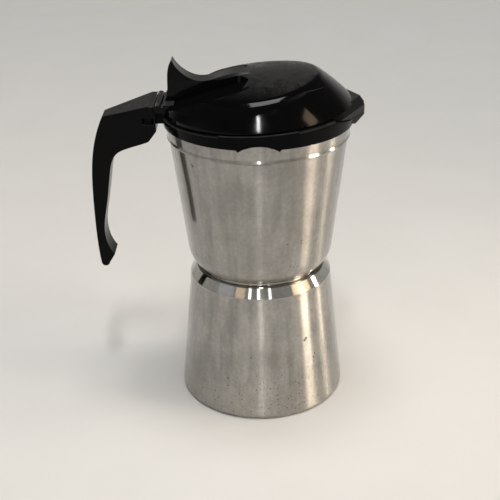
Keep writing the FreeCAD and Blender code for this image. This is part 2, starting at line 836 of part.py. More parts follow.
def side_pads(ring):
    """Add the raised pad and the arch with its two feet at each side of a collar."""
    outer = value(COLLAR_OUTER)
    low = value(COLLAR_LOW)
    over = value(COLLAR_TOP) + outer
    span = value("pad_span")
    rise = value("arch_rise")
    half = value("arch_width") / 2
    foot_radius = value("arch_foot_radius")
    pad_low = Vector(0, 0, low + rise / 2)
    for side in (-1, 1):
        pad = Part.makeCylinder(outer + value("pad_step"), over - low, pad_low, Vector(0, 0, 1), span)
        pad.rotate(Vector(0, 0, 0), Vector(0, 0, 1), side * FULL_TURN / 4 - span / 2)
        pad = pad.cut(Part.makeCylinder(value("vessel_rim_radius"), 2 * over))
        ring = ring.fuse(pad.common(under_plane(value(f"{COLLAR_TOP} + pad_rise"))))
        for end in (-half, half):
            place = Vector(end, 0, low + value("arch_foot_rise"))
            foot = Part.makeCylinder(foot_radius, outer, place, Vector(0, side, 0))
            ring = ring.fuse(foot.common(Part.makeCylinder(outer, over)))
    arch_radius = (half ** 2 + rise ** 2) / 2 / rise
    return ring.cut(across_bar(arch_radius, 4 * outer, 0, low + rise - arch_radius))


def make_collar():
    """Plastic ring over the vessel's rim, with pads and arches at both sides, the lip and the tang."""
    seat = value("vessel_rim_height + seat_gap")
    bore = value(COLLAR_BORE)
    low = value(COLLAR_LOW)
    over = value(COLLAR_TOP) + value(COLLAR_OUTER)
    ring = side_pads(collar_ring()).fuse(tang_block(0))
    lug_inset = value("snap_lug_inset")
    ring = ring.fuse(slot_box(lug_inset).common(handle_blank(lug_inset)))
    fit = value("collar_fit")
    rim_room = Part.makeCylinder(value("vessel_rim_radius") + fit, seat - low, Vector(0, 0, low))
    ring = ring.cut(Part.makeCylinder(bore, 2 * over)).cut(vessel_outside(fit)).cut(rim_room)
    floor = value("vessel_rim_height + trough_floor_rise")
    far = 2 * value(LIP_REACH)
    fall = value("trough_fall") / (value(LIP_REACH) - bore) * (far - bore)
    trough_side = [(0, floor), (bore, floor), (far, floor - fall), (far, over), (0, over)]
    trough = side_cut(trough_side, value("trough_width"))
    hole = Part.makeCylinder(value("screw_radius + pin_fit"), over, Vector(-value(SCREW_REACH), 0, 0))
    return solid_feature("collar", ring.cut(trough).cut(hole))


def grip_outside(height):
    """The grip's outer reach at a height: straight below, drawn in towards the elbow and the end."""
    straight = value(f"{ROOT_TOP} - grip_straight_drop")
    reach = value(f"{ROOT} + arm_length + grip_bow")
    if height > straight:
        rise = (height - straight) / (value(f"{ROOT_TOP} - elbow_drop") - straight)
        return reach - value("grip_bow") * rise ** value("grip_bow_power")
    drop = (straight - height) / (straight - value(HANDLE_END))
    return reach - value("heel_draw") * drop ** 2


def grip_thickness(height):
    """The grip's thickness at a height: thin near the hook, swelling up to the elbow."""
    low = value(f"{HANDLE_END} + grip_thin_rise")
    thin = value("grip_low_thickness")
    if height > low:
        rise = (height - low) / (value(f"{ROOT_TOP} - arm_depth") - low)
        return thin + (value("grip_top_thickness") - thin) * rise
    drop = (low - height) / (low - value(f"{HANDLE_END} + hook_rise"))
    return thin + (value("hook_thickness") - thin) * drop ** 2


def curve(points):
    """A smooth edge through points."""
    line = Part.BSplineCurve()
    line.interpolate(points)
    return line.toShape()


def side_point(reach, height):
    """A point of the handle's or the lid's outline in the middle plane, on the handle's side."""
    return Vector(-reach, 0, height)


def handle_side():
    """The handle's outline from the side, as a closed wire in the middle plane."""
    end = value(HANDLE_END)
    elbow = value(f"{ROOT_TOP} - elbow_drop")
    hook = value(f"{HANDLE_END} + hook_rise")
    under = value(f"{ROOT_TOP} - arm_depth")
    low = value(f"{HANDLE_END} + grip_thin_rise")
    bow = value("elbow_round")
    thin = value("grip_low_thickness")
    top_step = (end - elbow) / OUTSIDE_STEPS
    heights = [elbow - bow + top_step * step for step in range(OUTSIDE_STEPS)]
    outside = [side_point(grip_outside(height), height) for height in heights]
    outside.append(side_point(grip_outside(end), end + bow))
    bottom = side_point(grip_outside(end) - thin / 2, end)
    heel = side_point(grip_outside(end) - thin, end + bow)
    hook_tip = side_point(grip_outside(hook) - value("hook_thickness"), hook)
    third = (under - low) / 3
    inner_heights = [(low + hook) / 2, low, low + third, low + 2 * third]
    inside = [side_point(grip_outside(height) - grip_thickness(height), height) for height in inner_heights]
    bend = grip_outside(under) - value("grip_top_thickness")
    inside += [side_point(bend, under - thin), side_point(bend - thin, under - value("arm_bend_drop"))]
    throat = side_point(value(f"{ROOT} + throat_length"), value(f"{ROOT_TOP} - throat_drop"))
    corner = side_point(value(f"{ROOT} + arm_length"), elbow)
    shelf = side_point(value(f"{ROOT} + handle_shelf_length"), value(ROOT_TOP))
    root_top = side_point(value(ROOT), value(ROOT_TOP))
    root_low = side_point(value(ROOT), value(f"{ROOT_TOP} - handle_root_depth"))
    return Part.Wire([
        Part.LineSegment(root_top, shelf).toShape(),
        Part.LineSegment(shelf, corner).toShape(),
        curve([corner] + outside),
        Part.Arc(outside[-1], bottom, heel).toShape(),
        Part.LineSegment(heel, hook_tip).toShape(),
        curve([hook_tip] + inside + [throat]),
        Part.LineSegment(throat, root_low).toShape(),
        Part.LineSegment(root_low, root_top).toShape(),
    ])


def handle_blank(inset=0.0):
    """The handle before its pockets: its side outline, narrowed to its outline from above."""
    root = value(ROOT)
    shelf = value(f"{ROOT} + handle_shelf_length")
    width = value("handle_root_width")
    side = Part.Face(handle_side())
    side.translate(Vector(0, -width, 0))
    side = side.extrude(Vector(0, 2 * width, 0))
    half_root = width / 2 - inset
    half_grip = value("grip_width") / 2 - inset
    waist = value(f"{ROOT} + arm_length")
    far = waist + 2 * width
    half_outline = [(width - root, half_root), (-shelf, half_root), (-waist, half_grip), (-far, half_grip)]
    outline = [Vector(place, -half, 0) for place, half in half_outline]
    outline += [Vector(place, half, 0) for place, half in reversed(half_outline)]
    return side.common(extruded(outline, Vector(0, 0, 2 * value(ROOT_TOP))))


def rounded_handle():
    """The handle's blank with the two upper edges of its shelf and arm rounded."""
    blank = handle_blank()
    elbow = value(f"{ROOT_TOP} - elbow_drop")
    half_grip = value("grip_width") / 2
    upper = [edge for edge in blank.Edges if edge.BoundBox.ZMin > elbow - SAME]
    outer = [edge for edge in upper if abs(edge.CenterOfMass.y) > half_grip]
    sides = [edge for edge in outer if edge.BoundBox.XLength > SAME]
    return blank.makeFillet(value("handle_edge_round"), sides)


def make_handle():
    """Moulded handle with a pocket for the tang, a screw hole from below and the hinge's middle knuckle."""
    reach = value(HINGE_REACH)
    height = value(HINGE_HEIGHT)
    knuckle_radius = value("knuckle_radius")
    middle = value("middle_knuckle_width")
    width = value("handle_root_width")
    body = rounded_handle().cut(across_bar(value("knuckle_radius + knuckle_gap"), 2 * width, -reach, height))
    knuckle = across_bar(knuckle_radius, middle, -reach, height)
    bridge = Part.makeBox(2 * knuckle_radius, middle, knuckle_radius,
                          Vector(-reach - 2 * knuckle_radius, -middle / 2, height - knuckle_radius))
    body = body.fuse(knuckle).fuse(bridge)
    body = body.cut(across_bar(value("pin_radius + pin_fit"), 2 * width, -reach, height))
    body = body.cut(tang_block(value("tang_fit"))).cut(slot_box(0))
    axis = Vector(-value(SCREW_REACH), 0, 0)
    seat = value(f"{TANG_LOW} - screw_seat_depth")
    body = body.cut(Part.makeCylinder(value("screw_radius + screw_fit"), value(TANG_LOW), axis))
    body = body.cut(Part.makeCylinder(value("screw_head_radius + screw_fit"), seat, axis))
    solid_feature("handle", body.removeSplitter())
    head_top = seat - value("seat_gap")
    head_height = value("screw_head_height")
    head_foot = axis + Vector(0, 0, head_top - head_height)
    head = Part.makeCylinder(value("screw_head_radius"), head_height, head_foot)
    shank_end = value(f"{TANG_LOW} + tang_thickness")
    shank = Part.makeCylinder(value("screw_radius"), shank_end - head_top, axis + Vector(0, 0, head_top))
    solid_feature("handle_screw", head.fuse(shank).removeSplitter())
    pin = across_bar(value("pin_radius"), value("barrel_width - 2 * pin_cover"), -reach, height)
    solid_feature("hinge_pin", pin)


def lid_dome(inset):
    """The lid's leaning wall carried up to a dome of revolution, shrunk by an inset."""
    shift = inset / math.sqrt(2)
    low = value(COLLAR_LOW)
    radius = value(LID_RADIUS)
    base = value(LID_EDGE)
    edge = Vector(radius - inset, 0, base)
    haunch = Vector(radius - value("lid_haunch_inset") - shift, 0, base + value("lid_haunch_rise") - shift)
    brow = Vector(radius - value("lid_brow_inset") - shift, 0, base + value("lid_brow_rise") - shift)
    corners = [brow, Vector(0, 0, value(FIN_TOP)), Vector(0, 0, low), Vector(edge.x, 0, low), edge]
    edges = [Part.Arc(edge, haunch, brow).toShape()]
    edges += [Part.LineSegment(start, end).toShape() for start, end in zip(corners, corners[1:])]
    return Part.Face(Part.Wire(edges)).revolve(Vector(0, 0, 0), Vector(0, 0, 1), FULL_TURN)


def under_crown(drop):
    """Everything under the crown's double curve, lowered by a drop."""
    cross = value("crown_cross_radius")
    half = value(LID_RADIUS)
    top = value(CROWN_TOP) - drop
    side = top - cross + math.sqrt(cross ** 2 - half ** 2)
    low = value(COLLAR_LOW) - half / 4
    place = value("crown_reach")
    ends = [Vector(place, -half, side), Vector(place, half, side)]
    feet = [Vector(place, half, low), Vector(place, -half, low)]
    edges = [Part.Arc(ends[0], Vector(place, 0, top), ends[1]).toShape()]
    corners = [ends[1], feet[0], feet[1], ends[0]]
    edges += [Part.LineSegment(start, end).toShape() for start, end in zip(corners, corners[1:])]
    centre = Vector(place, 0, top - value("crown_long_radius"))
    face = Part.Face(Part.Wire(edges))
    face.rotate(centre, Vector(0, 1, 0), -CROWN_SWEEP)
    return face.revolve(centre, Vector(0, 1, 0), 2 * CROWN_SWEEP)


def under_ledge(lowered):
    """Everything under the ledge's arch, which bends along the lid only."""
    half = value(LID_RADIUS)
    radius = value("ledge_radius")
    foot = Vector(value("ledge_reach"), -half, value(f"{LID_EDGE} + ledge_rise") - radius)
    return Part.makeCylinder(radius - lowered, 2 * half, foot, Vector(0, 1, 0))


def leaning_wall(inset):
    """The lid's wall up to its ledge, which stays a little under the crown's double curve."""
    return lid_dome(inset).common(under_ledge(inset)).common(under_crown(value("shelf_drop") + inset))


def crown_form(inset):
    """The crown, a narrower dome moved towards the spout and cut off by the crown's double curve."""
    crown = lid_dome(value("shelf_width") + inset)
    crown.translate(Vector(value("crown_shift"), 0, 0))
    return crown.common(under_crown(inset))


def rounded_crown():
    """The crown with its brow rounded, where its top meets its side."""
    crown = crown_form(0)
    high = [edge for edge in crown.Edges if edge.BoundBox.ZMin > value(LID_EDGE) + SAME]
    brow = [edge for edge in high if edge.BoundBox.YLength > SAME]
    return crown.makeFillet(value("brow_round"), brow)


def scoop(side, grown):
    """The hollow beside the spine, above its sloping floor; grown, it bounds the cavity below."""
    tip = value("scoop_tip_reach")
    offset = value("scoop_tip_offset")
    flare = value("scoop_flare")
    bulge = value("scoop_bulge")
    inner = 0 if grown else value("spine_width") / 2
    outer = value(LID_RADIUS)
    far = value(HINGE_REACH) + outer
    tip_height = value(f"{CROWN_TOP} - scoop_tip_drop") - grown

    def floor_point(place, across):
        height = tip_height + (place + tip) * value("scoop_fall") + (across - offset) * value("scoop_tilt")
        return Vector(place + grown, side * across, height)

    start = floor_point(-tip - flare, inner)
    bend = floor_point(-tip - flare * bulge, inner + (offset - inner) * bulge)
    end = floor_point(-tip, offset)
    corners = [end, floor_point(-tip - value("scoop_corner"), outer), floor_point(-far, outer),
               floor_point(-far, inner), start]
    edges = [Part.Arc(start, bend, end).toShape()]
    edges += [Part.LineSegment(first, second).toShape() for first, second in zip(corners, corners[1:])]
    return Part.Face(Part.Wire(edges)).extrude(Vector(0, 0, outer))


def spine_solid():
    """The spine along the middle of the lid: level with the crown, a valley, then the thumb fin."""
    crown = value(CROWN_TOP)
    fin = value(FIN_TOP)
    low = value(BAR_LOW)
    back = value("fin_back_reach")
    run = [
        side_point(value("spine_start"), crown - value("spine_start_drop")),
        side_point(value("spine_crest_reach"), crown - value("spine_crest_drop")),
        side_point(value("valley_reach"), crown - value("valley_drop")),
        side_point(value("fin_bend_reach"), crown - value("fin_bend_drop")),
        side_point(value("fin_tip_reach"), fin),
    ]
    heel = side_point(back, fin - value("fin_heel_drop"))
    waist = side_point(back + value("fin_back_bow"), (fin + low) / 2)
    foot = side_point(value(BAR_REACH), value(f"{BAR_TOP} - fin_foot_drop"))
    corners = [foot, Vector(foot.x, 0, low), Vector(run[0].x, 0, low), run[0]]
    edges = [curve(run), curve([run[-1], heel, waist, foot])]
    edges += [Part.LineSegment(first, second).toShape() for first, second in zip(corners, corners[1:])]
    width = value("spine_width")
    side = Part.Face(Part.Wire(Part.__sortEdges__(edges)))
    side.translate(Vector(0, -width / 2, 0))
    reach = value(LID_RADIUS)
    half_tip = value("fin_tip_width") / 2
    valley = crown - value("valley_drop")
    taper = extruded([
        Vector(-reach, -width / 2, low),
        Vector(-reach, width / 2, low),
        Vector(-reach, width / 2, valley),
        Vector(-reach, half_tip, fin),
        Vector(-reach, -half_tip, fin),
        Vector(-reach, -width / 2, valley),
    ], Vector(reach, 0, 0))
    return side.extrude(Vector(0, width, 0)).common(taper)


def hood_form(inset):
    """The hood's outside, or its hollow when inset: an upright skirt, then sides that lean in to the top."""
    radius = value(f"{COLLAR_OUTER} - hood_setback") - inset
    reach = value(f"{LIP_REACH} + hood_overhang") - inset
    tip_radius = value("hood_tip_radius") - inset
    low = value(COLLAR_LOW)
    high = value(HOOD_TOP) - inset
    shoulder = value(f"{HOOD_TOP} - hood_shoulder_drop")
    draft = value("hood_draft / hood_shoulder_drop") * (high - shoulder)
    skirt = teardrop(radius, reach, tip_radius, low, shoulder)
    edge = teardrop_wire(radius, reach, tip_radius, shoulder)
    top = teardrop_wire(radius - draft, reach - draft, tip_radius - draft, high)
    return skirt.fuse(Part.makeLoft([edge, top], True, True))


def hood_solid():
    """The hollow hood over the pouring lip, down to the collar's dip, with a mouth at its tip."""
    low = value(COLLAR_LOW)
    mouth = value("mouth_width")
    shell = hood_form(0).cut(hood_form(value("hood_wall")))
    high = value(f"{HOOD_TOP} - mouth_drop")
    opening = Part.makeBox(2 * value(LIP_REACH), mouth, high - low, Vector(0, -mouth / 2, low))
    return shell.cut(opening).common(over_dip(value("hood_gap")))


def make_lid():
    """Moulded lid: leaning wall, shelf, domed crown, spine with a thumb fin, scoops, hood and knuckles."""
    wall = value("lid_wall")
    reach = value(HINGE_REACH)
    height = value(HINGE_HEIGHT)
    barrel = value("barrel_width")
    knuckle_radius = value("knuckle_radius")
    bar_low = value(BAR_LOW)
    bar_reach = value(BAR_REACH)
    form = leaning_wall(0).fuse(rounded_crown())
    cavity = leaning_wall(wall).fuse(crown_form(wall))
    bar = Part.makeBox(value("rear_bar_depth"), barrel, value(BAR_TOP) - bar_low,
                       Vector(-bar_reach, -barrel / 2, bar_low))
    cavity = cavity.cut(bar)
    for side in (-1, 1):
        form = form.cut(scoop(side, 0))
        cavity = cavity.cut(scoop(side, wall))
    body = form.cut(cavity).cut(under_plane(value(LID_EDGE)))
    body = body.fuse(hood_solid().cut(cavity)).fuse(bar).fuse(spine_solid().cut(cavity))
    knuckles = across_bar(knuckle_radius, barrel, -reach, height)
    bridge = Part.makeBox(reach - bar_reach + value("knuckle_gap"), barrel, value("bridge_thickness"),
                          Vector(-reach, -barrel / 2, height - knuckle_radius))
    gap_width = value("middle_knuckle_width + knuckle_gap")
    gap = across_bar(value("knuckle_radius + knuckle_gap"), gap_width, -reach, height)
    body = body.fuse(knuckles.fuse(bridge).cut(gap)).cut(gap)
    bore_length = value("barrel_width - 2 * pin_cover + 2 * pin_fit")
    bore = across_bar(value("pin_radius + pin_fit"), bore_length, -reach, height)
    return solid_feature("lid", body.cut(bore))


NODES = ["boiler", "valve_body", "valve_nut", "valve_washer", "valve_spring", "valve_plunger",
         "coffee_funnel", "funnel_sieve", "gasket", "filter_plate", "upper_vessel", "column", "column_cap",
         "collar", "handle", "handle_screw", "hinge_pin", "lid"]

make_boiler()
make_funnel()
make_seal()
make_vessel()
make_column()
make_valve()
make_collar()
make_handle()
make_lid()
doc.recompute()

for item in doc.Objects:
    if "Invalid" in item.State or "Error" in item.State:
        raise RuntimeError(f"{item.Label} failed")
pieces = {item.Label: item.Shape for item in doc.Objects if item.Label in NODES}
for label in NODES:
    if pieces[label].isNull() or not pieces[label].isValid():
        raise RuntimeError(f"{label} has no valid solid")
os.makedirs("parts", exist_ok=True)
for label in NODES:
    pieces[label].exportStep(f"parts/{label}.step")
    print(f"{label}: {len(pieces[label].Solids)} solid, {pieces[label].Volume:.0f} mm3")
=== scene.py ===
"""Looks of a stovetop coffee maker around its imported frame, in metres and the frame's own axes."""

import logging
import math
from dataclasses import dataclass, field
from enum import Enum

import bpy
import numpy as np
from mathutils import Matrix, Vector


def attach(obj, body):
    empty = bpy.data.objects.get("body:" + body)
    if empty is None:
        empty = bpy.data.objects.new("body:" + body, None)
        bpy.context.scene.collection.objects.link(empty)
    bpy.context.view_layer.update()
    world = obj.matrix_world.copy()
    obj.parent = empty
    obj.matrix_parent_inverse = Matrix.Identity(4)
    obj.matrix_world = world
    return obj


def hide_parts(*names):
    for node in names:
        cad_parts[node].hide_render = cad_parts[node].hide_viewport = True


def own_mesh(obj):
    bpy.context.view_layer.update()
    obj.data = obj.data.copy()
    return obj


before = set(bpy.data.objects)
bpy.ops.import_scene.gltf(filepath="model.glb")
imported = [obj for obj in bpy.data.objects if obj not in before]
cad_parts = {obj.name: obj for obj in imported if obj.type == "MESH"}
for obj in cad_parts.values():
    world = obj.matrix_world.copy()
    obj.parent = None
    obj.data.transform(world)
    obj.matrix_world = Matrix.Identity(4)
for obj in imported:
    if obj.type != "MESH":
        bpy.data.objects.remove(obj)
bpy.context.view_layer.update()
MM = 0.001
SMOOTH = "SMOOTHSTEP"
# The beam of a lamp with a grid before it, in radians: it lights the pot and little of the floor.
BEAM = 1.0
# A noise texture stays mostly between these two values.
NOISE_LOW, NOISE_HIGH = 0.3, 0.7
# Sockets of a mix node that is set to colours: its share, its two colours and its result.
SHARE, FIRST, SECOND, MIXED = 0, 6, 7, 2
# How far a fine grain stands out of a surface.
GRAIN_DEPTH = 0.05 * MM
log = logging.getLogger("coffee_maker")


class Slot(Enum):
    """The record's material slots for polished aluminium and for steel; no piece here takes its finish from them."""

    POLISHED = "polished_aluminium"
    STEEL = "steel"


def linear(code: str) -> tuple[float, float, float, float]:
    """Turn an sRGB hex colour into linear light.

    Args:
        code: six hex digits, with or without a leading hash.

    Returns:
        Red, green, blue and an alpha of one.
    """
    values = np.array([int(code.lstrip("#")[at:at + 2], 16) for at in (0, 2, 4)]) / 255
    light = np.where(values <= 0.04045, values / 12.92, ((values + 0.055) / 1.055) ** 2.4)
    return (*light.tolist(), 1.0)


def per_metre(size_mm: float) -> float:
    """The texture scale at which one feature of a pattern is this many millimetres wide."""
    return 1 / (size_mm * MM)


def add_node(tree: bpy.types.NodeTree, kind: str, inputs: dict | None = None,
             **settings: object) -> bpy.types.Node:
    """Add one node with its settings, and set or link its inputs.

    Args:
        tree: the node tree of a material or a world.
        kind: the node's type.
        inputs: values by the input's name or number; a value that is a socket is linked.
        **settings: the node's own properties.

    Returns:
        The new node.
    """
    node = tree.nodes.new(kind)
    for name, value in settings.items():
        setattr(node, name, value)
    for name, value in (inputs or {}).items():
        if isinstance(value, bpy.types.NodeSocket):
            tree.links.new(value, node.inputs[name])
        else:
            node.inputs[name].default_value = value
    return node


@dataclass(frozen=True)
class Finish:
    """What every finish has: its name, its colour and how it scatters light."""

    name: str
    colour: str
    roughness: float

    def start(self) -> tuple[bpy.types.Material, bpy.types.NodeTree, bpy.types.Node, bpy.types.Node]:
        """Make an empty material.

        Returns:
            The material, its tree, its shader and its texture coordinates.
        """
        material = bpy.data.materials.new(self.name)
        material.use_nodes = True
        tree = material.node_tree
        tree.nodes.clear()
        shader = add_node(tree, "ShaderNodeBsdfPrincipled")
        add_node(tree, "ShaderNodeOutputMaterial", {"Surface": shader.outputs[0]})
        return material, tree, shader, add_node(tree, "ShaderNodeTexCoord")


@dataclass(frozen=True)
class Nick:
    """A small dark dent, as a ball that cuts the surface, dark through out to a share of its radius."""

    place: tuple[float, float, float]
    radius: float
    core: float = 0.6


@dataclass(frozen=True)
class SpunAluminium(Finish):
    """Aluminium spun over a form, polished on the lathe, then dulled by washing.

    Lathe lines run round the pot, so reflections are drawn out up and down into upright bands with firm sides.
    Washing leaves faint upright streaks, cloudy dull patches and a fine mottle, the hob leaves a dull foot with
    small dark pits, knocks leave a few nicks, and a part that is still polished mirrors its surroundings.
    """

    dull_colour: str = "#706c64"
    dull_from: float = 0.72
    dull_full: float = 1.28
    worn_roughness: float = 0.29
    added_roughness: float = 0.05
    drawn_out: float = 0.97
    drawn_turn: float = 0.25
    sheen: float = 1.0
    sheen_roughness: float = 0.06
    sheen_ior: float = 2.2
    streak_mm: float = 5.0
    streak_stretch: float = 0.03
    cloud_mm: float = 24.0
    mottle_mm: float = 2.2
    mottle_depth: float = 0.13
    grain_mm: float = 0.7
    grain_stretch: float = 0.12
    relief: float = 0.08
    pit_cell_mm: float = 2.1
    pit_mm: float = 0.52
    pit_share: float = 0.7
    pit_colour: str = "#28241f"
    pit_metallic: float = 0.2
    pits_below: float = 0.0
    pit_fade: float = 25 * MM
    foot_colour: str = "#938f85"
    foot_share: float = 0.7
    foot_top: float = 0.0
    foot_fade: float = 30 * MM
    polished_above: float = 1.0
    polish_edge: float = 3.0 * MM
    nicks: tuple[Nick, ...] = ()

    def make(self) -> bpy.types.Material:
        """Build the material.

        Returns:
            The material, ready to be put on a piece.
        """
        material, tree, shader, coords = self.start()
        place = coords.outputs["Object"]
        height = add_node(tree, "ShaderNodeSeparateXYZ", {0: place}).outputs["Z"]
        worn = add_node(tree, "ShaderNodeMapRange", {
            "Value": height, "From Min": self.polished_above, "From Max": self.polished_above + self.polish_edge,
            "To Min": 1.0, "To Max": 0.0}, interpolation_type=SMOOTH).outputs[0]
        dull = self.dull_share(tree, place, worn)
        pit = self.pit_share_here(tree, place, height)
        foot = add_node(tree, "ShaderNodeMapRange", {
            "Value": height, "From Min": self.foot_top, "From Max": self.foot_top + self.foot_fade,
            "To Min": self.foot_share, "To Max": 0.0}, interpolation_type=SMOOTH).outputs[0]
        washed = add_node(tree, "ShaderNodeMix", {
            SHARE: dull, FIRST: linear(self.colour), SECOND: linear(self.dull_colour)},
            data_type="RGBA").outputs[MIXED]
        metal = add_node(tree, "ShaderNodeMix", {
            SHARE: foot, FIRST: washed, SECOND: linear(self.foot_colour)},
            data_type="RGBA").outputs[MIXED]
        spots = add_node(tree, "ShaderNodeTexNoise", {
            "Vector": place, "Scale": per_metre(self.mottle_mm), "Detail": 3.0}).outputs[0]
        shade = add_node(tree, "ShaderNodeMapRange", {
            "Value": spots, "From Min": NOISE_LOW, "From Max": NOISE_HIGH,
            "To Min": 1.0 - self.mottle_depth, "To Max": 1.0 + self.mottle_depth}).outputs[0]
        mottled = add_node(tree, "ShaderNodeVectorMath", {0: metal, "Scale": shade}, operation="SCALE").outputs[0]
        tone = add_node(tree, "ShaderNodeMix", {
            SHARE: pit, FIRST: mottled, SECOND: linear(self.pit_colour)},
            data_type="RGBA").outputs[MIXED]
        tree.links.new(tone, shader.inputs["Base Color"])
        bare = add_node(tree, "ShaderNodeMapRange", {
            "Value": pit, "To Min": 1.0, "To Max": self.pit_metallic}).outputs[0]
        tree.links.new(bare, shader.inputs["Metallic"])
        base = add_node(tree, "ShaderNodeMapRange", {
            "Value": worn, "To Min": self.roughness, "To Max": self.worn_roughness}).outputs[0]
        matt = add_node(tree, "ShaderNodeMath", {0: dull, 1: foot}, operation="MAXIMUM").outputs[0]
        rough = add_node(tree, "ShaderNodeMath", {
            0: matt, 1: self.added_roughness, 2: base}, operation="MULTIPLY_ADD").outputs[0]
        tree.links.new(rough, shader.inputs["Roughness"])
        self.draw_grain(tree, shader, place, pit)
        return material

    def dull_share(self, tree: bpy.types.NodeTree, place: bpy.types.NodeSocket,
                   worn: bpy.types.NodeSocket) -> bpy.types.NodeSocket:
        """How dull the metal is, from 0 to 1: clouds crossed by upright streaks, none on the polished part.

        Args:
            tree: the material's tree.
            place: the object's coordinates.
            worn: 1 where the polish is worn off and 0 where it is kept.

        Returns:
            The share's socket.
        """
        drawn = add_node(tree, "ShaderNodeMapping", {
            "Vector": place, "Scale": (1.0, 1.0, self.streak_stretch)}).outputs[0]
        streak = add_node(tree, "ShaderNodeTexNoise", {
            "Vector": drawn, "Scale": per_metre(self.streak_mm), "Detail": 3.0}).outputs[0]
        cloud = add_node(tree, "ShaderNodeTexNoise", {
            "Vector": place, "Scale": per_metre(self.cloud_mm), "Detail": 5.0}).outputs[0]
        both = add_node(tree, "ShaderNodeMath", {0: streak, 1: cloud}, operation="ADD").outputs[0]
        dull = add_node(tree, "ShaderNodeMapRange", {
            "Value": both, "From Min": self.dull_from, "From Max": self.dull_full},
            interpolation_type=SMOOTH).outputs[0]
        return add_node(tree, "ShaderNodeMath", {0: dull, 1: worn}, operation="MULTIPLY").outputs[0]

    def pit_share_here(self, tree: bpy.types.NodeTree, place: bpy.types.NodeSocket,
                       height: bpy.types.NodeSocket) -> bpy.types.NodeSocket:
        """Where the pits and nicks are: a dot in some of the cells, fading out above a height, and the nicks.

        Args:
            tree: the material's tree.
            place: the object's coordinates.
            height: their Z.

        Returns:
            The share's socket, 1 in a pit.
        """
        cells = add_node(tree, "ShaderNodeTexVoronoi", {"Vector": place, "Scale": per_metre(self.pit_cell_mm)})
        reach = self.pit_mm / self.pit_cell_mm
        dot = add_node(tree, "ShaderNodeMapRange", {
            "Value": cells.outputs["Distance"], "From Min": reach / 2, "From Max": reach,
            "To Min": 1.0, "To Max": 0.0}, interpolation_type=SMOOTH).outputs[0]
        draw = add_node(tree, "ShaderNodeSeparateColor", {0: cells.outputs["Color"]}).outputs[0]
        has_pit = add_node(tree, "ShaderNodeMath", {0: draw, 1: self.pit_share}, operation="LESS_THAN").outputs[0]
        low = add_node(tree, "ShaderNodeMapRange", {
            "Value": height, "From Min": self.pits_below, "From Max": self.pits_below + self.pit_fade,
            "To Min": 1.0, "To Max": 0.0}, interpolation_type=SMOOTH).outputs[0]
        pit = add_node(tree, "ShaderNodeMath", {0: dot, 1: has_pit}, operation="MULTIPLY").outputs[0]
        pit = add_node(tree, "ShaderNodeMath", {0: pit, 1: low}, operation="MULTIPLY").outputs[0]
        for nick in self.nicks:
            away = add_node(tree, "ShaderNodeVectorMath", {0: place, 1: nick.place}, operation="DISTANCE")
            dent = add_node(tree, "ShaderNodeMapRange", {
                "Value": away.outputs["Value"], "From Min": nick.radius * nick.core, "From Max": nick.radius,
                "To Min": 1.0, "To Max": 0.0}, interpolation_type=SMOOTH).outputs[0]
            pit = add_node(tree, "ShaderNodeMath", {0: pit, 1: dent}, operation="MAXIMUM").outputs[0]
        return pit

    def draw_grain(self, tree: bpy.types.NodeTree, shader: bpy.types.Node, place: bpy.types.NodeSocket,
                   pit: bpy.types.NodeSocket) -> None:
        """Sink the pits, raise a faint grain, and draw reflections out along the pot's axis.

        Args:
            tree: the material's tree.
            shader: its shader.
            place: the object's coordinates.
            pit: the pits' share.
        """
        drawn = add_node(tree, "ShaderNodeMapping", {
            "Vector": place, "Scale": (1.0, 1.0, self.grain_stretch)}).outputs[0]
        # Real polishing lines are finer than this; they are drawn as coarse as the render can show.
        grain = add_node(tree, "ShaderNodeTexNoise", {
            "Vector": drawn, "Scale": per_metre(self.grain_mm), "Detail": 2.0}).outputs[0]
        relief = add_node(tree, "ShaderNodeMath", {0: grain, 1: pit}, operation="SUBTRACT").outputs[0]
        bump = add_node(tree, "ShaderNodeBump", {
            "Strength": self.relief, "Distance": GRAIN_DEPTH, "Height": relief})
        tree.links.new(bump.outputs[0], shader.inputs["Normal"])
        tangent = add_node(tree, "ShaderNodeTangent", direction_type="RADIAL", axis="Z")
        tree.links.new(tangent.outputs[0], shader.inputs["Tangent"])
        # What polish is left between the lathe lines mirrors sharply, so the handle shows in the pot's side.
        whole = add_node(tree, "ShaderNodeMapRange", {
            "Value": pit, "To Min": self.sheen, "To Max": 0.0}).outputs[0]
        tree.links.new(whole, shader.inputs["Coat Weight"])
        shader.inputs["Coat Roughness"].default_value = self.sheen_roughness
        shader.inputs["Coat IOR"].default_value = self.sheen_ior
        shader.inputs["Anisotropic"].default_value = self.drawn_out
        shader.inputs["Anisotropic Rotation"].default_value = self.drawn_turn


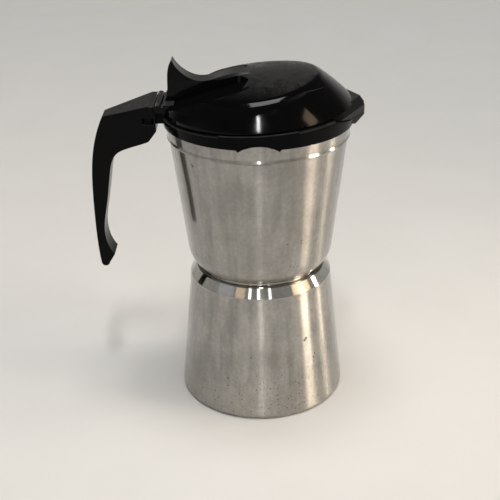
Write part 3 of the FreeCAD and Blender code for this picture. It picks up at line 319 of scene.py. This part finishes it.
@dataclass(frozen=True)
class TurnedAluminium(Finish):
    """Pressed or turned aluminium, unpolished, with rings from the lathe and a coffee stain."""

    stain_colour: str = "#6b5138"
    stain_share: float = 0.55
    stain_from: float = 0.5
    stain_full: float = 0.72
    ring_mm: float = 0.5
    ring_stretch: float = 0.05
    relief: float = 0.2
    patch_mm: float = 9.0
    worn_roughness: float = 0.5

    def make(self) -> bpy.types.Material:
        """Build the material.

        Returns:
            The material, ready to be put on a piece.
        """
        material, tree, shader, coords = self.start()
        place = coords.outputs["Object"]
        patch = add_node(tree, "ShaderNodeTexNoise", {
            "Vector": place, "Scale": per_metre(self.patch_mm), "Detail": 5.0}).outputs[0]
        stain = add_node(tree, "ShaderNodeMapRange", {
            "Value": patch, "From Min": self.stain_from, "From Max": self.stain_full, "To Max": self.stain_share},
            interpolation_type=SMOOTH).outputs[0]
        tone = add_node(tree, "ShaderNodeMix", {
            SHARE: stain, FIRST: linear(self.colour), SECOND: linear(self.stain_colour)},
            data_type="RGBA").outputs[MIXED]
        tree.links.new(tone, shader.inputs["Base Color"])
        rough = add_node(tree, "ShaderNodeMapRange", {
            "Value": patch, "From Min": NOISE_LOW, "From Max": NOISE_HIGH,
            "To Min": self.roughness, "To Max": self.worn_roughness}).outputs[0]
        tree.links.new(rough, shader.inputs["Roughness"])
        shader.inputs["Metallic"].default_value = 1.0
        round_it = add_node(tree, "ShaderNodeMapping", {
            "Vector": place, "Scale": (self.ring_stretch, self.ring_stretch, 1.0)}).outputs[0]
        # Lathe rings are finer than this; they are drawn as coarse as the render can show.
        ring = add_node(tree, "ShaderNodeTexNoise", {
            "Vector": round_it, "Scale": per_metre(self.ring_mm), "Detail": 2.0}).outputs[0]
        bump = add_node(tree, "ShaderNodeBump", {
            "Strength": self.relief, "Distance": GRAIN_DEPTH, "Height": ring})
        tree.links.new(bump.outputs[0], shader.inputs["Normal"])
        return material


@dataclass(frozen=True)
class MouldedPlastic(Finish):
    """Black phenolic plastic from a polished mould.

    It is glossy and almost without colour where it is wiped. Faces that look up are hazed grey by dust and fine
    scratches, in patches, and smudges break its reflections a little.
    """

    haze_colour: str = "#2e2e2d"
    haze_roughness: float = 0.55
    haze_from: float = 0.93
    haze_full: float = 1.0
    patch_mm: float = 5.0
    patch_from: float = 0.3
    patch_full: float = 0.66
    patch_least: float = 0.35
    speck_mm: float = 0.9
    speck_from: float = 0.35
    speck_full: float = 0.6
    speck_least: float = 0.65
    smudge_mm: float = 16.0
    smudge_from: float = 0.4
    smudge_full: float = 0.66
    smudge_roughness: float = 0.07
    relief: float = 0.06
    relief_depth: float = 0.1 * MM
    ior: float = 1.55
    shine: float = 0.1

    def make(self) -> bpy.types.Material:
        """Build the material.

        Returns:
            The material, ready to be put on a piece.
        """
        material, tree, shader, coords = self.start()
        place = coords.outputs["Object"]
        haze = self.haze_share(tree, coords)
        tone = add_node(tree, "ShaderNodeMix", {
            SHARE: haze, FIRST: linear(self.colour), SECOND: linear(self.haze_colour)},
            data_type="RGBA").outputs[MIXED]
        tree.links.new(tone, shader.inputs["Base Color"])
        smudge = add_node(tree, "ShaderNodeTexNoise", {
            "Vector": place, "Scale": per_metre(self.smudge_mm), "Detail": 4.0}).outputs[0]
        gloss = add_node(tree, "ShaderNodeMapRange", {
            "Value": smudge, "From Min": self.smudge_from, "From Max": self.smudge_full,
            "To Min": self.roughness, "To Max": self.roughness + self.smudge_roughness}).outputs[0]
        rough = add_node(tree, "ShaderNodeMath", {
            0: haze, 1: self.haze_roughness, 2: gloss}, operation="MULTIPLY_ADD").outputs[0]
        tree.links.new(rough, shader.inputs["Roughness"])
        shader.inputs["IOR"].default_value = self.ior
        shader.inputs["Specular IOR Level"].default_value = self.shine
        bump = add_node(tree, "ShaderNodeBump", {
            "Strength": self.relief, "Distance": self.relief_depth, "Height": smudge})
        tree.links.new(bump.outputs[0], shader.inputs["Normal"])
        return material

    def haze_share(self, tree: bpy.types.NodeTree, coords: bpy.types.Node) -> bpy.types.NodeSocket:
        """How hazed the plastic is, from 0 to 1: on faces that look up, in mottled patches with specks.

        Args:
            tree: the material's tree.
            coords: its texture coordinates.

        Returns:
            The share's socket.
        """
        place = coords.outputs["Object"]
        up = add_node(tree, "ShaderNodeSeparateXYZ", {0: coords.outputs["Normal"]}).outputs["Z"]
        level = add_node(tree, "ShaderNodeMapRange", {
            "Value": up, "From Min": self.haze_from, "From Max": self.haze_full},
            interpolation_type=SMOOTH).outputs[0]
        mottle = add_node(tree, "ShaderNodeTexNoise", {
            "Vector": place, "Scale": per_metre(self.patch_mm), "Detail": 6.0, "Roughness": 0.7}).outputs[0]
        patch = add_node(tree, "ShaderNodeMapRange", {
            "Value": mottle, "From Min": self.patch_from, "From Max": self.patch_full,
            "To Min": self.patch_least}).outputs[0]
        grit = add_node(tree, "ShaderNodeTexNoise", {
            "Vector": place, "Scale": per_metre(self.speck_mm), "Detail": 2.0}).outputs[0]
        speck = add_node(tree, "ShaderNodeMapRange", {
            "Value": grit, "From Min": self.speck_from, "From Max": self.speck_full,
            "To Min": self.speck_least}).outputs[0]
        dust = add_node(tree, "ShaderNodeMath", {0: patch, 1: speck}, operation="MULTIPLY").outputs[0]
        return add_node(tree, "ShaderNodeMath", {0: level, 1: dust}, operation="MULTIPLY").outputs[0]


@dataclass(frozen=True)
class DustyPlastic(MouldedPlastic):
    """The lid's plastic: dust lies on the crown and the spine, and none on the floors of the two scoops.

    A scoop's floor is a plane that falls towards the hinge and rises a little outwards; dust lies off it.
    """

    floor_height: float = 200.07 * MM
    floor_fall: float = 0.3
    floor_tilt: float = 0.035
    offset: float = 14.3 * MM
    tip: float = -4.9 * MM
    edge_low: float = 0.1 * MM
    edge_high: float = 0.5 * MM

    def haze_share(self, tree: bpy.types.NodeTree, coords: bpy.types.Node) -> bpy.types.NodeSocket:
        """How hazed the plastic is, from 0 to 1, with none on the floors of the scoops.

        The floor's height is h + fall x + tilt (|y| - offset), and it ends at the scoop's tip.

        Args:
            tree: the material's tree.
            coords: its texture coordinates.

        Returns:
            The share's socket.
        """
        haze = super().haze_share(tree, coords)
        axes = add_node(tree, "ShaderNodeSeparateXYZ", {0: coords.outputs["Object"]})
        across = add_node(tree, "ShaderNodeMath", {0: axes.outputs["Y"]}, operation="ABSOLUTE").outputs[0]
        rise = add_node(tree, "ShaderNodeMath", {
            0: across, 1: self.floor_tilt, 2: self.floor_height - self.floor_tilt * self.offset},
            operation="MULTIPLY_ADD").outputs[0]
        floor = add_node(tree, "ShaderNodeMath", {
            0: axes.outputs["X"], 1: self.floor_fall, 2: rise}, operation="MULTIPLY_ADD").outputs[0]
        above = add_node(tree, "ShaderNodeMath", {
            0: axes.outputs["Z"], 1: floor}, operation="SUBTRACT").outputs[0]
        away = add_node(tree, "ShaderNodeMath", {0: above}, operation="ABSOLUTE").outputs[0]
        dusty = add_node(tree, "ShaderNodeMapRange", {
            "Value": away, "From Min": self.edge_low, "From Max": self.edge_high}).outputs[0]
        ahead = add_node(tree, "ShaderNodeMapRange", {
            "Value": axes.outputs["X"], "From Min": self.tip, "From Max": self.tip + self.edge_high}).outputs[0]
        dusty = add_node(tree, "ShaderNodeMath", {0: dusty, 1: ahead}, operation="MAXIMUM").outputs[0]
        return add_node(tree, "ShaderNodeMath", {0: haze, 1: dusty}, operation="MULTIPLY").outputs[0]


@dataclass(frozen=True)
class WornMetal(Finish):
    """Brass or steel hardware, turned or drawn, which glints between dull patches of tarnish."""

    tarnish_colour: str = "#5d4a26"
    tarnish_share: float = 0.7
    tarnish_from: float = 0.45
    tarnish_full: float = 0.7
    patch_mm: float = 2.5
    worn_roughness: float = 0.44

    def make(self) -> bpy.types.Material:
        """Build the material.

        Returns:
            The material, ready to be put on a piece.
        """
        material, tree, shader, coords = self.start()
        patch = add_node(tree, "ShaderNodeTexNoise", {
            "Vector": coords.outputs["Object"], "Scale": per_metre(self.patch_mm), "Detail": 5.0}).outputs[0]
        tarnish = add_node(tree, "ShaderNodeMapRange", {
            "Value": patch, "From Min": self.tarnish_from, "From Max": self.tarnish_full,
            "To Max": self.tarnish_share}, interpolation_type=SMOOTH).outputs[0]
        tone = add_node(tree, "ShaderNodeMix", {
            SHARE: tarnish, FIRST: linear(self.colour), SECOND: linear(self.tarnish_colour)},
            data_type="RGBA").outputs[MIXED]
        tree.links.new(tone, shader.inputs["Base Color"])
        rough = add_node(tree, "ShaderNodeMapRange", {
            "Value": patch, "From Min": NOISE_LOW, "From Max": NOISE_HIGH,
            "To Min": self.roughness, "To Max": self.worn_roughness}).outputs[0]
        tree.links.new(rough, shader.inputs["Roughness"])
        shader.inputs["Metallic"].default_value = 1.0
        return material


@dataclass(frozen=True)
class SealRubber(Finish):
    """Moulded rubber or pressed fibre, matt, with a faint grain and a darkened bloom."""

    bloom_colour: str = "#b7ab90"
    bloom_mm: float = 7.0
    bloom_from: float = 0.35
    bloom_full: float = 0.7
    grain_mm: float = 0.8
    relief: float = 0.3

    def make(self) -> bpy.types.Material:
        """Build the material.

        Returns:
            The material, ready to be put on a piece.
        """
        material, tree, shader, coords = self.start()
        place = coords.outputs["Object"]
        cloud = add_node(tree, "ShaderNodeTexNoise", {
            "Vector": place, "Scale": per_metre(self.bloom_mm), "Detail": 4.0}).outputs[0]
        bloom = add_node(tree, "ShaderNodeMapRange", {
            "Value": cloud, "From Min": self.bloom_from, "From Max": self.bloom_full},
            interpolation_type=SMOOTH).outputs[0]
        tone = add_node(tree, "ShaderNodeMix", {
            SHARE: bloom, FIRST: linear(self.colour), SECOND: linear(self.bloom_colour)},
            data_type="RGBA").outputs[MIXED]
        tree.links.new(tone, shader.inputs["Base Color"])
        shader.inputs["Roughness"].default_value = self.roughness
        grain = add_node(tree, "ShaderNodeTexNoise", {
            "Vector": place, "Scale": per_metre(self.grain_mm)}).outputs[0]
        bump = add_node(tree, "ShaderNodeBump", {
            "Strength": self.relief, "Distance": GRAIN_DEPTH, "Height": grain})
        tree.links.new(bump.outputs[0], shader.inputs["Normal"])
        return material


def ring_faces(rows: int, columns: int) -> list[list[int]]:
    """Faces of a tube of points, rows along it and columns round it, with a cap at each end.

    Args:
        rows: how many rings the tube has.
        columns: how many points each ring has.

    Returns:
        Lists of point numbers, each going round its face as seen from outside.
    """
    row, column = np.meshgrid(np.arange(rows - 1), np.arange(columns), indexing="ij")
    following = (column + 1) % columns
    quads = np.stack([row * columns + column, (row + 1) * columns + column,
                      (row + 1) * columns + following, row * columns + following], axis=-1)
    last = (rows - 1) * columns
    caps = [list(range(columns)), list(range(last + columns - 1, last - 1, -1))]
    return quads.reshape(-1, 4).tolist() + caps


def new_piece(name: str, points: np.ndarray, faces: list[list[int]]) -> bpy.types.Object:
    """A smooth mesh object at the origin, with its place in its mesh.

    Args:
        name: the piece's name.
        points: its points, one row each, in metres.
        faces: its faces as lists of point numbers.

    Returns:
        The object, linked to the scene.
    """
    mesh = bpy.data.meshes.new(name)
    mesh.from_pydata(points.reshape(-1, 3).tolist(), [], faces)
    mesh.polygons.foreach_set("use_smooth", np.ones(len(mesh.polygons), dtype=bool))
    mesh.update()
    piece = bpy.data.objects.new(name, mesh)
    bpy.context.scene.collection.objects.link(piece)
    return piece


def cad_nodes(*names: str) -> list[bpy.types.Object]:
    """The frame's CAD nodes of these names."""
    return [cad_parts[name] for name in names]


def put_on(material: bpy.types.Material, pieces: list[bpy.types.Object]) -> None:
    """Give every face of some pieces one material.

    Args:
        material: the finish.
        pieces: new pieces or CAD nodes.
    """
    for piece in pieces:
        piece.data.materials.clear()
        piece.data.materials.append(material)
        log.info("%s wears %s", piece.name, material.name)


@dataclass
class Thread:
    """A screw thread's ridge, which stands out from a neck or in from a skirt."""

    name: str
    body: str
    radius: float
    start_height: float
    turns: float
    pitch: float = 4.0 * MM
    width: float = 1.6 * MM
    rise: float = 0.22 * MM
    steps_per_turn: int = 96
    steps_round: int = 12
    run_out_turns: float = 0.12
    run_out_least: float = 0.05

    def build(self) -> bpy.types.Object:
        """Carry an ellipse along a helix.

        The path is (R cos a, R sin a, z0 + pitch a / 2 pi). Round it the ellipse has half its width along Z and
        the rise along the radius, and both fade to a twentieth over the run-out at each end.

        Returns:
            The ridge, which rides on its body.
        """
        rows = int(self.turns * self.steps_per_turn)
        angle = np.linspace(0, 2 * math.pi * self.turns, rows)[:, None]
        round_it = np.linspace(0, 2 * math.pi, self.steps_round, endpoint=False)[None, :]
        share = np.linspace(0, self.turns, rows)[:, None]
        fade = np.clip(np.minimum(share, self.turns - share) / self.run_out_turns, self.run_out_least, 1)
        radius = self.radius + fade * self.rise * np.cos(round_it)
        height = self.start_height + self.pitch * angle / (2 * math.pi) + fade * self.width / 2 * np.sin(round_it)
        points = np.stack([radius * np.cos(angle), radius * np.sin(angle), height], axis=-1)
        piece = new_piece(self.name, points, ring_faces(rows, self.steps_round))
        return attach(piece, self.body)


@dataclass
class Spring:
    """The valve's coil spring, built at one length, though the real one shortens as the plunger lifts."""

    name: str = "valve_coil"
    node: str = "valve_spring"
    body: str = "base"
    joint: str = "valve_lift"
    axis_height: float = 50.0 * MM
    low_end: float = 47.302 * MM
    high_end: float = 54.448 * MM
    seat: float = 54.8 * MM
    keep: float = 0.79
    coil_radius: float = 2.2 * MM
    wire_radius: float = 0.3 * MM
    turns: int = 5
    steps_per_turn: int = 48
    steps_round: int = 12

    def build(self) -> bpy.types.Object:
        """Carry a circle along a helix about the valve's axis, which lies along Y.

        The path is (R sin a, y0 + (y1 - y0) a / (2 pi n), z0 + R cos a) for n turns. Round it the wire's circle
        stands on the radius and the axis.

        Returns:
            The spring, which stands for its CAD node.
        """
        rows = self.turns * self.steps_per_turn
        angle = np.linspace(0, 2 * math.pi * self.turns, rows)[:, None]
        round_it = np.linspace(0, 2 * math.pi, self.steps_round, endpoint=False)[None, :]
        radius = self.coil_radius + self.wire_radius * np.cos(round_it)
        along = np.linspace(self.low_end, self.high_end, rows)[:, None] + self.wire_radius * np.sin(round_it)
        points = np.stack([radius * np.sin(angle), along, self.axis_height + radius * np.cos(angle)], axis=-1)
        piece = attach(new_piece(self.name, points, ring_faces(rows, self.steps_round)), self.body)
        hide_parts(self.node)
        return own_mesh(piece)


@dataclass
class SubAssembly:
    """A group of parts that is built and dressed together."""

    def build(self) -> list[bpy.types.Object]:
        """Make the pieces that the frame doesn't hold, where the group has some."""
        return []

    def dress(self, pieces: list[bpy.types.Object]) -> None:
        """Put the finishes on the new pieces and on the group's CAD nodes."""
        raise NotImplementedError


@dataclass
class Boiler(SubAssembly):
    """The lower pot, its neck's thread and the filter parts that hang in it."""

    neck_radius: float = 37.0 * MM
    thread_start: float = 86.6 * MM
    thread_turns: float = 1.75
    finish: SpunAluminium = SpunAluminium(
        "aluminium_drawn_polished_worn", "#96928a", 0.14, pits_below=18 * MM, pit_fade=34 * MM, foot_top=4 * MM,
        polished_above=76.8 * MM, nicks=(
            Nick((0.0263, -0.0372, 0.0490), 1.1 * MM), Nick((0.0255, -0.0380, 0.0480), 1.0 * MM),
            Nick((0.0317, -0.0346, 0.0368), 0.7 * MM), Nick((0.0309, -0.0355, 0.0349), 0.8 * MM),
            Nick((0.0311, -0.0358, 0.0319), 0.6 * MM), Nick((0.0294, -0.0326, 0.0654), 0.6 * MM),
            Nick((-0.0064, -0.0460, 0.0412), 0.6 * MM), Nick((-0.0205, -0.0435, 0.0257), 0.8 * MM)))
    inner_finish: TurnedAluminium = TurnedAluminium("aluminium_pressed_stained", "#b4b2ac", 0.34)
    inner_nodes: tuple[str, ...] = ("coffee_funnel", "funnel_sieve")

    def build(self) -> list[bpy.types.Object]:
        """Make the thread on the neck.

        Returns:
            The thread's ridge.
        """
        thread = Thread("neck_thread", "base", self.neck_radius, self.thread_start, self.thread_turns).build()
        return [thread]

    def dress(self, pieces: list[bpy.types.Object]) -> None:
        """Put worn polish on the pot and its thread, and stained metal on what hangs in it."""
        put_on(self.finish.make(), pieces + cad_nodes("boiler"))
        put_on(self.inner_finish.make(), cad_nodes(*self.inner_nodes))


@dataclass
class SafetyValve(SubAssembly):
    """The valve at the back of the boiler."""

    brass: WornMetal = WornMetal("brass_turned_tarnished", "#b8923f", 0.24)
    steel: WornMetal = WornMetal("steel_wire_drawn", "#a9a9a6", 0.25, tarnish_colour="#6a665f")
    rubber: SealRubber = SealRubber("fibre_washer_pressed", "#8d3a2b", 0.7, bloom_colour="#6f3226")
    brass_nodes: tuple[str, ...] = ("valve_body", "valve_nut", "valve_plunger")

    def build(self) -> list[bpy.types.Object]:
        """Make the valve's spring.

        Returns:
            The spring's coil.
        """
        spring = Spring().build()
        return [spring]

    def dress(self, pieces: list[bpy.types.Object]) -> None:
        """Put brass on the valve's turned parts, steel on its spring and fibre on its washer.

        Args:
            pieces: the spring's coil.
        """
        put_on(self.brass.make(), cad_nodes(*self.brass_nodes))
        put_on(self.steel.make(), pieces + cad_nodes("valve_spring"))
        put_on(self.rubber.make(), cad_nodes("valve_washer"))


@dataclass
class Vessel(SubAssembly):
    """The upper pot with its skirt's thread, column, seal and filter plate."""

    skirt_radius: float = 37.4 * MM
    thread_start: float = 88.6 * MM
    thread_turns: float = 1.4
    finish: SpunAluminium = SpunAluminium(
        "aluminium_spun_polished_worn", "#8c8880", 0.2, pits_below=95 * MM, pit_share=0.12, nicks=(
            Nick((-0.0363, -0.0355, 0.1587), 0.9 * MM), Nick((-0.0370, -0.0349, 0.1594), 0.6 * MM),
            Nick((0.0234, -0.0389, 0.1140), 0.7 * MM), Nick((0.0233, -0.0387, 0.1124), 0.6 * MM),
            Nick((0.0154, -0.0427, 0.1135), 0.6 * MM)))
    inner_finish: TurnedAluminium = TurnedAluminium("aluminium_turned_stained", "#b9b7b1", 0.3)
    rubber: SealRubber = SealRubber("silicone_rubber_moulded", "#d9d2c0", 0.55)
    inner_nodes: tuple[str, ...] = ("column", "column_cap", "filter_plate")

    def build(self) -> list[bpy.types.Object]:
        """Make the thread in the skirt.

        Returns:
            The thread's ridge.
        """
        thread = Thread("skirt_thread", "vessel", self.skirt_radius, self.thread_start, self.thread_turns).build()
        return [thread]

    def dress(self, pieces: list[bpy.types.Object]) -> None:
        """Put worn polish on the pot and its thread, stained metal on the column and plate, and rubber on the seal.

        Args:
            pieces: the thread's ridge.
        """
        put_on(self.finish.make(), pieces + cad_nodes("upper_vessel"))
        put_on(self.inner_finish.make(), cad_nodes(*self.inner_nodes))
        put_on(self.rubber.make(), cad_nodes("gasket"))


@dataclass
class Handle(SubAssembly):
    """The collar, the handle on its tang, and the screw and pin that hold them."""

    gloss: MouldedPlastic = MouldedPlastic("phenolic_moulded_black", "#060607", 0.12, haze_from=0.96, shine=0.04)
    grip: MouldedPlastic = MouldedPlastic("phenolic_moulded_black_handled", "#070707", 0.16, haze_from=0.75,
                                          haze_full=0.9, shine=0.06)
    steel: WornMetal = WornMetal("steel_turned_plated", "#b3b3b0", 0.2, tarnish_colour="#77736b")

    def dress(self, pieces: list[bpy.types.Object]) -> None:
        """Put black plastic on the collar and the handle, and steel on their hardware.

        Args:
            pieces: new pieces, of which this group has none.
        """
        put_on(self.gloss.make(), pieces + cad_nodes("collar"))
        put_on(self.grip.make(), cad_nodes("handle"))
        put_on(self.steel.make(), cad_nodes("handle_screw", "hinge_pin"))


@dataclass
class Lid(SubAssembly):
    """The hinged lid with its crown, fin and beak."""

    finish: DustyPlastic = DustyPlastic("phenolic_moulded_black_dusty", "#050505", 0.06)

    def dress(self, pieces: list[bpy.types.Object]) -> None:
        """Put dusty black plastic on the lid."""
        put_on(self.finish.make(), pieces + cad_nodes("lid"))


@dataclass
class Lamp:
    """One soft studio lamp, aimed at a point of the pot."""

    name: str
    place: tuple[float, float, float]
    watts: float
    width: float
    height: float
    aim: tuple[float, float, float] = (0.0, 0.0, 0.1)
    colour: str = "#ffffff"
    spread: float = math.pi

    def build(self) -> None:
        """Make the lamp, with its face towards its aim and its height upright."""
        light = bpy.data.lights.new(self.name, "AREA")
        light.shape = "RECTANGLE"
        light.size = self.width
        light.size_y = self.height
        light.energy = self.watts
        light.spread = self.spread
        light.color = linear(self.colour)[:3]
        lamp = bpy.data.objects.new(self.name, light)
        lamp.location = self.place
        lamp.rotation_euler = (Vector(self.aim) - Vector(self.place)).to_track_quat("-Z", "Y").to_euler()
        bpy.context.scene.collection.objects.link(lamp)


@dataclass
class Studio:
    """The pale floor, the soft light and the camera at the photograph's viewing angle."""

    camera_place: tuple[float, float, float] = (0.0, -0.54687, 0.35819)
    pitch: float = 0.4567
    yaw: float = -0.0114
    roll: float = -0.0208
    lens_mm: float = 72.0
    sensor_mm: float = 36.0
    floor_half: float = 3.0
    floor_colour: str = "#c6c4c0"
    floor_shade: str = "#c0beb9"
    floor_roughness: float = 0.8
    floor_patch_mm: float = 60.0
    horizon_colour: str = "#c6c4c0"
    room_colour: str = "#b4b3af"
    overhead_colour: str = "#3c3c3e"
    horizon_rise: float = 0.1
    dim_rise: float = 0.45
    backdrop_side: float = 0.5
    room_side: float = -0.1
    wall_lift: float = 0.4
    lamps: list[Lamp] = field(default_factory=lambda: [
        Lamp("overhead_softbox", (0.0, 0.05, 5.5), 235.0, 2.4, 2.4),
        Lamp("front_softbox", (0.0, -0.55, 1.3), 5.0, 0.055, 0.24, aim=(0.0, -0.05, 0.187)),
        Lamp("front_strip", (0.0, -1.3, 0.22), 0.12, 0.06, 0.4, aim=(0.0, 0.0, 0.06), spread=BEAM),
        Lamp("window_left_pane", (-0.33, -0.95, 0.8), 0.35, 0.07, 0.3),
        Lamp("window_middle_pane", (-0.07, -1.0, 0.8), 0.35, 0.07, 0.3),
        Lamp("window_right_pane", (0.27, -0.96, 0.8), 0.35, 0.07, 0.3),
        Lamp("left_warm_card", (-0.62, -0.86, 0.78), 0.3, 0.3, 0.3, colour="#f0cfa6"),
        Lamp("right_warm_card", (0.9, -0.32, 0.52), 0.16, 0.54, 0.28, colour="#ffdcb4", spread=BEAM),
        Lamp("right_high_card", (0.78, -0.08, 0.99), 0.1, 0.2, 0.2, aim=(0.0, 0.0, 0.187), colour="#f8d8b4",
             spread=BEAM),
        Lamp("right_strip", (0.88, -0.36, 0.17), 0.6, 0.2, 0.32, colour="#fff1e0", spread=BEAM),
        Lamp("right_rear_strip", (0.94, 0.12, 0.2), 0.38, 0.08, 0.36, colour="#fff0dc", spread=BEAM),
        Lamp("left_fill", (-1.1, -0.6, 0.7), 0.5, 0.6, 0.9, colour="#d2dcf4"),
    ])

    def build(self) -> None:
        """Set the view transform, and make the floor, the sky, the lamps and the camera."""
        bpy.context.scene.view_settings.view_transform = "Standard"
        self.lay_floor()
        self.light_sky()
        for lamp in self.lamps:
            lamp.build()
        self.set_camera()

    def lay_floor(self) -> None:
        """Lay a square pale floor at height zero, with a faint mottle."""
        side = np.array([-self.floor_half, self.floor_half])
        across, along = np.meshgrid(side, side, indexing="ij")
        points = np.stack([across, along, np.zeros_like(across)], axis=-1)
        floor = new_piece("studio_floor", points, [[0, 2, 3, 1]])
        paper = Finish("paper_backdrop_matt", self.floor_colour, self.floor_roughness)
        material, tree, shader, coords = paper.start()
        shade = add_node(tree, "ShaderNodeTexNoise", {
            "Vector": coords.outputs["Object"], "Scale": per_metre(self.floor_patch_mm)}).outputs[0]
        tone = add_node(tree, "ShaderNodeMix", {
            SHARE: shade, FIRST: linear(paper.colour), SECOND: linear(self.floor_shade)},
            data_type="RGBA").outputs[MIXED]
        tree.links.new(tone, shader.inputs["Base Color"])
        shader.inputs["Roughness"].default_value = paper.roughness
        put_on(material, [floor])

    def light_sky(self) -> None:
        """Make a sky that is pale behind the pot, as a backdrop is, grey in front, as a room is, and dim overhead."""
        world = bpy.data.worlds.new("studio_sky")
        world.use_nodes = True
        tree = world.node_tree
        tree.nodes.clear()
        way = add_node(tree, "ShaderNodeTexCoord").outputs["Generated"]
        axes = add_node(tree, "ShaderNodeSeparateXYZ", {0: way})
        front = add_node(tree, "ShaderNodeMapRange", {
            "Value": axes.outputs["Y"], "From Min": self.backdrop_side, "From Max": self.room_side},
            interpolation_type=SMOOTH).outputs[0]
        height = add_node(tree, "ShaderNodeMath", {
            0: front, 1: -self.wall_lift, 2: axes.outputs["Z"]}, operation="MULTIPLY_ADD").outputs[0]
        rise = add_node(tree, "ShaderNodeMapRange", {
            "Value": height, "From Min": self.horizon_rise, "From Max": self.dim_rise},
            interpolation_type=SMOOTH).outputs[0]
        wall = add_node(tree, "ShaderNodeMix", {
            SHARE: front, FIRST: linear(self.horizon_colour), SECOND: linear(self.room_colour)},
            data_type="RGBA").outputs[MIXED]
        colour = add_node(tree, "ShaderNodeMix", {
            SHARE: rise, FIRST: wall, SECOND: linear(self.overhead_colour)},
            data_type="RGBA").outputs[MIXED]
        sky = add_node(tree, "ShaderNodeBackground", {"Color": colour, "Strength": 1.0})
        add_node(tree, "ShaderNodeOutputWorld", {"Surface": sky.outputs[0]})
        bpy.context.scene.world = world

    def set_camera(self) -> None:
        """Set the camera by its pitch, yaw and roll, fitted to the photograph's square frame."""
        ahead = Vector((math.sin(self.yaw) * math.cos(self.pitch), math.cos(self.yaw) * math.cos(self.pitch),
                        -math.sin(self.pitch)))
        level = Vector((math.cos(self.yaw), -math.sin(self.yaw), 0))
        above = level.cross(ahead)
        right = math.cos(self.roll) * level + math.sin(self.roll) * above
        up = math.cos(self.roll) * above - math.sin(self.roll) * level
        camera = bpy.data.objects.new("studio_camera", bpy.data.cameras.new("studio_camera"))
        camera.data.lens = self.lens_mm
        camera.data.sensor_width = self.sensor_mm
        turn = Matrix((right, up, -ahead)).transposed().to_4x4()
        camera.matrix_world = Matrix.Translation(self.camera_place) @ turn
        bpy.context.scene.collection.objects.link(camera)
        bpy.context.scene.camera = camera


def main() -> None:
    """Set the studio, and build and dress the sub-assemblies in order, from the boiler to the lid."""
    logging.basicConfig(level=logging.INFO, format="%(name)s: %(message)s")
    Studio().build()
    for part in (Boiler(), SafetyValve(), Vessel(), Handle(), Lid()):
        part.dress(part.build())
        log.info("%s is built and dressed", type(part).__name__)


if __name__ == "__main__":
    main()
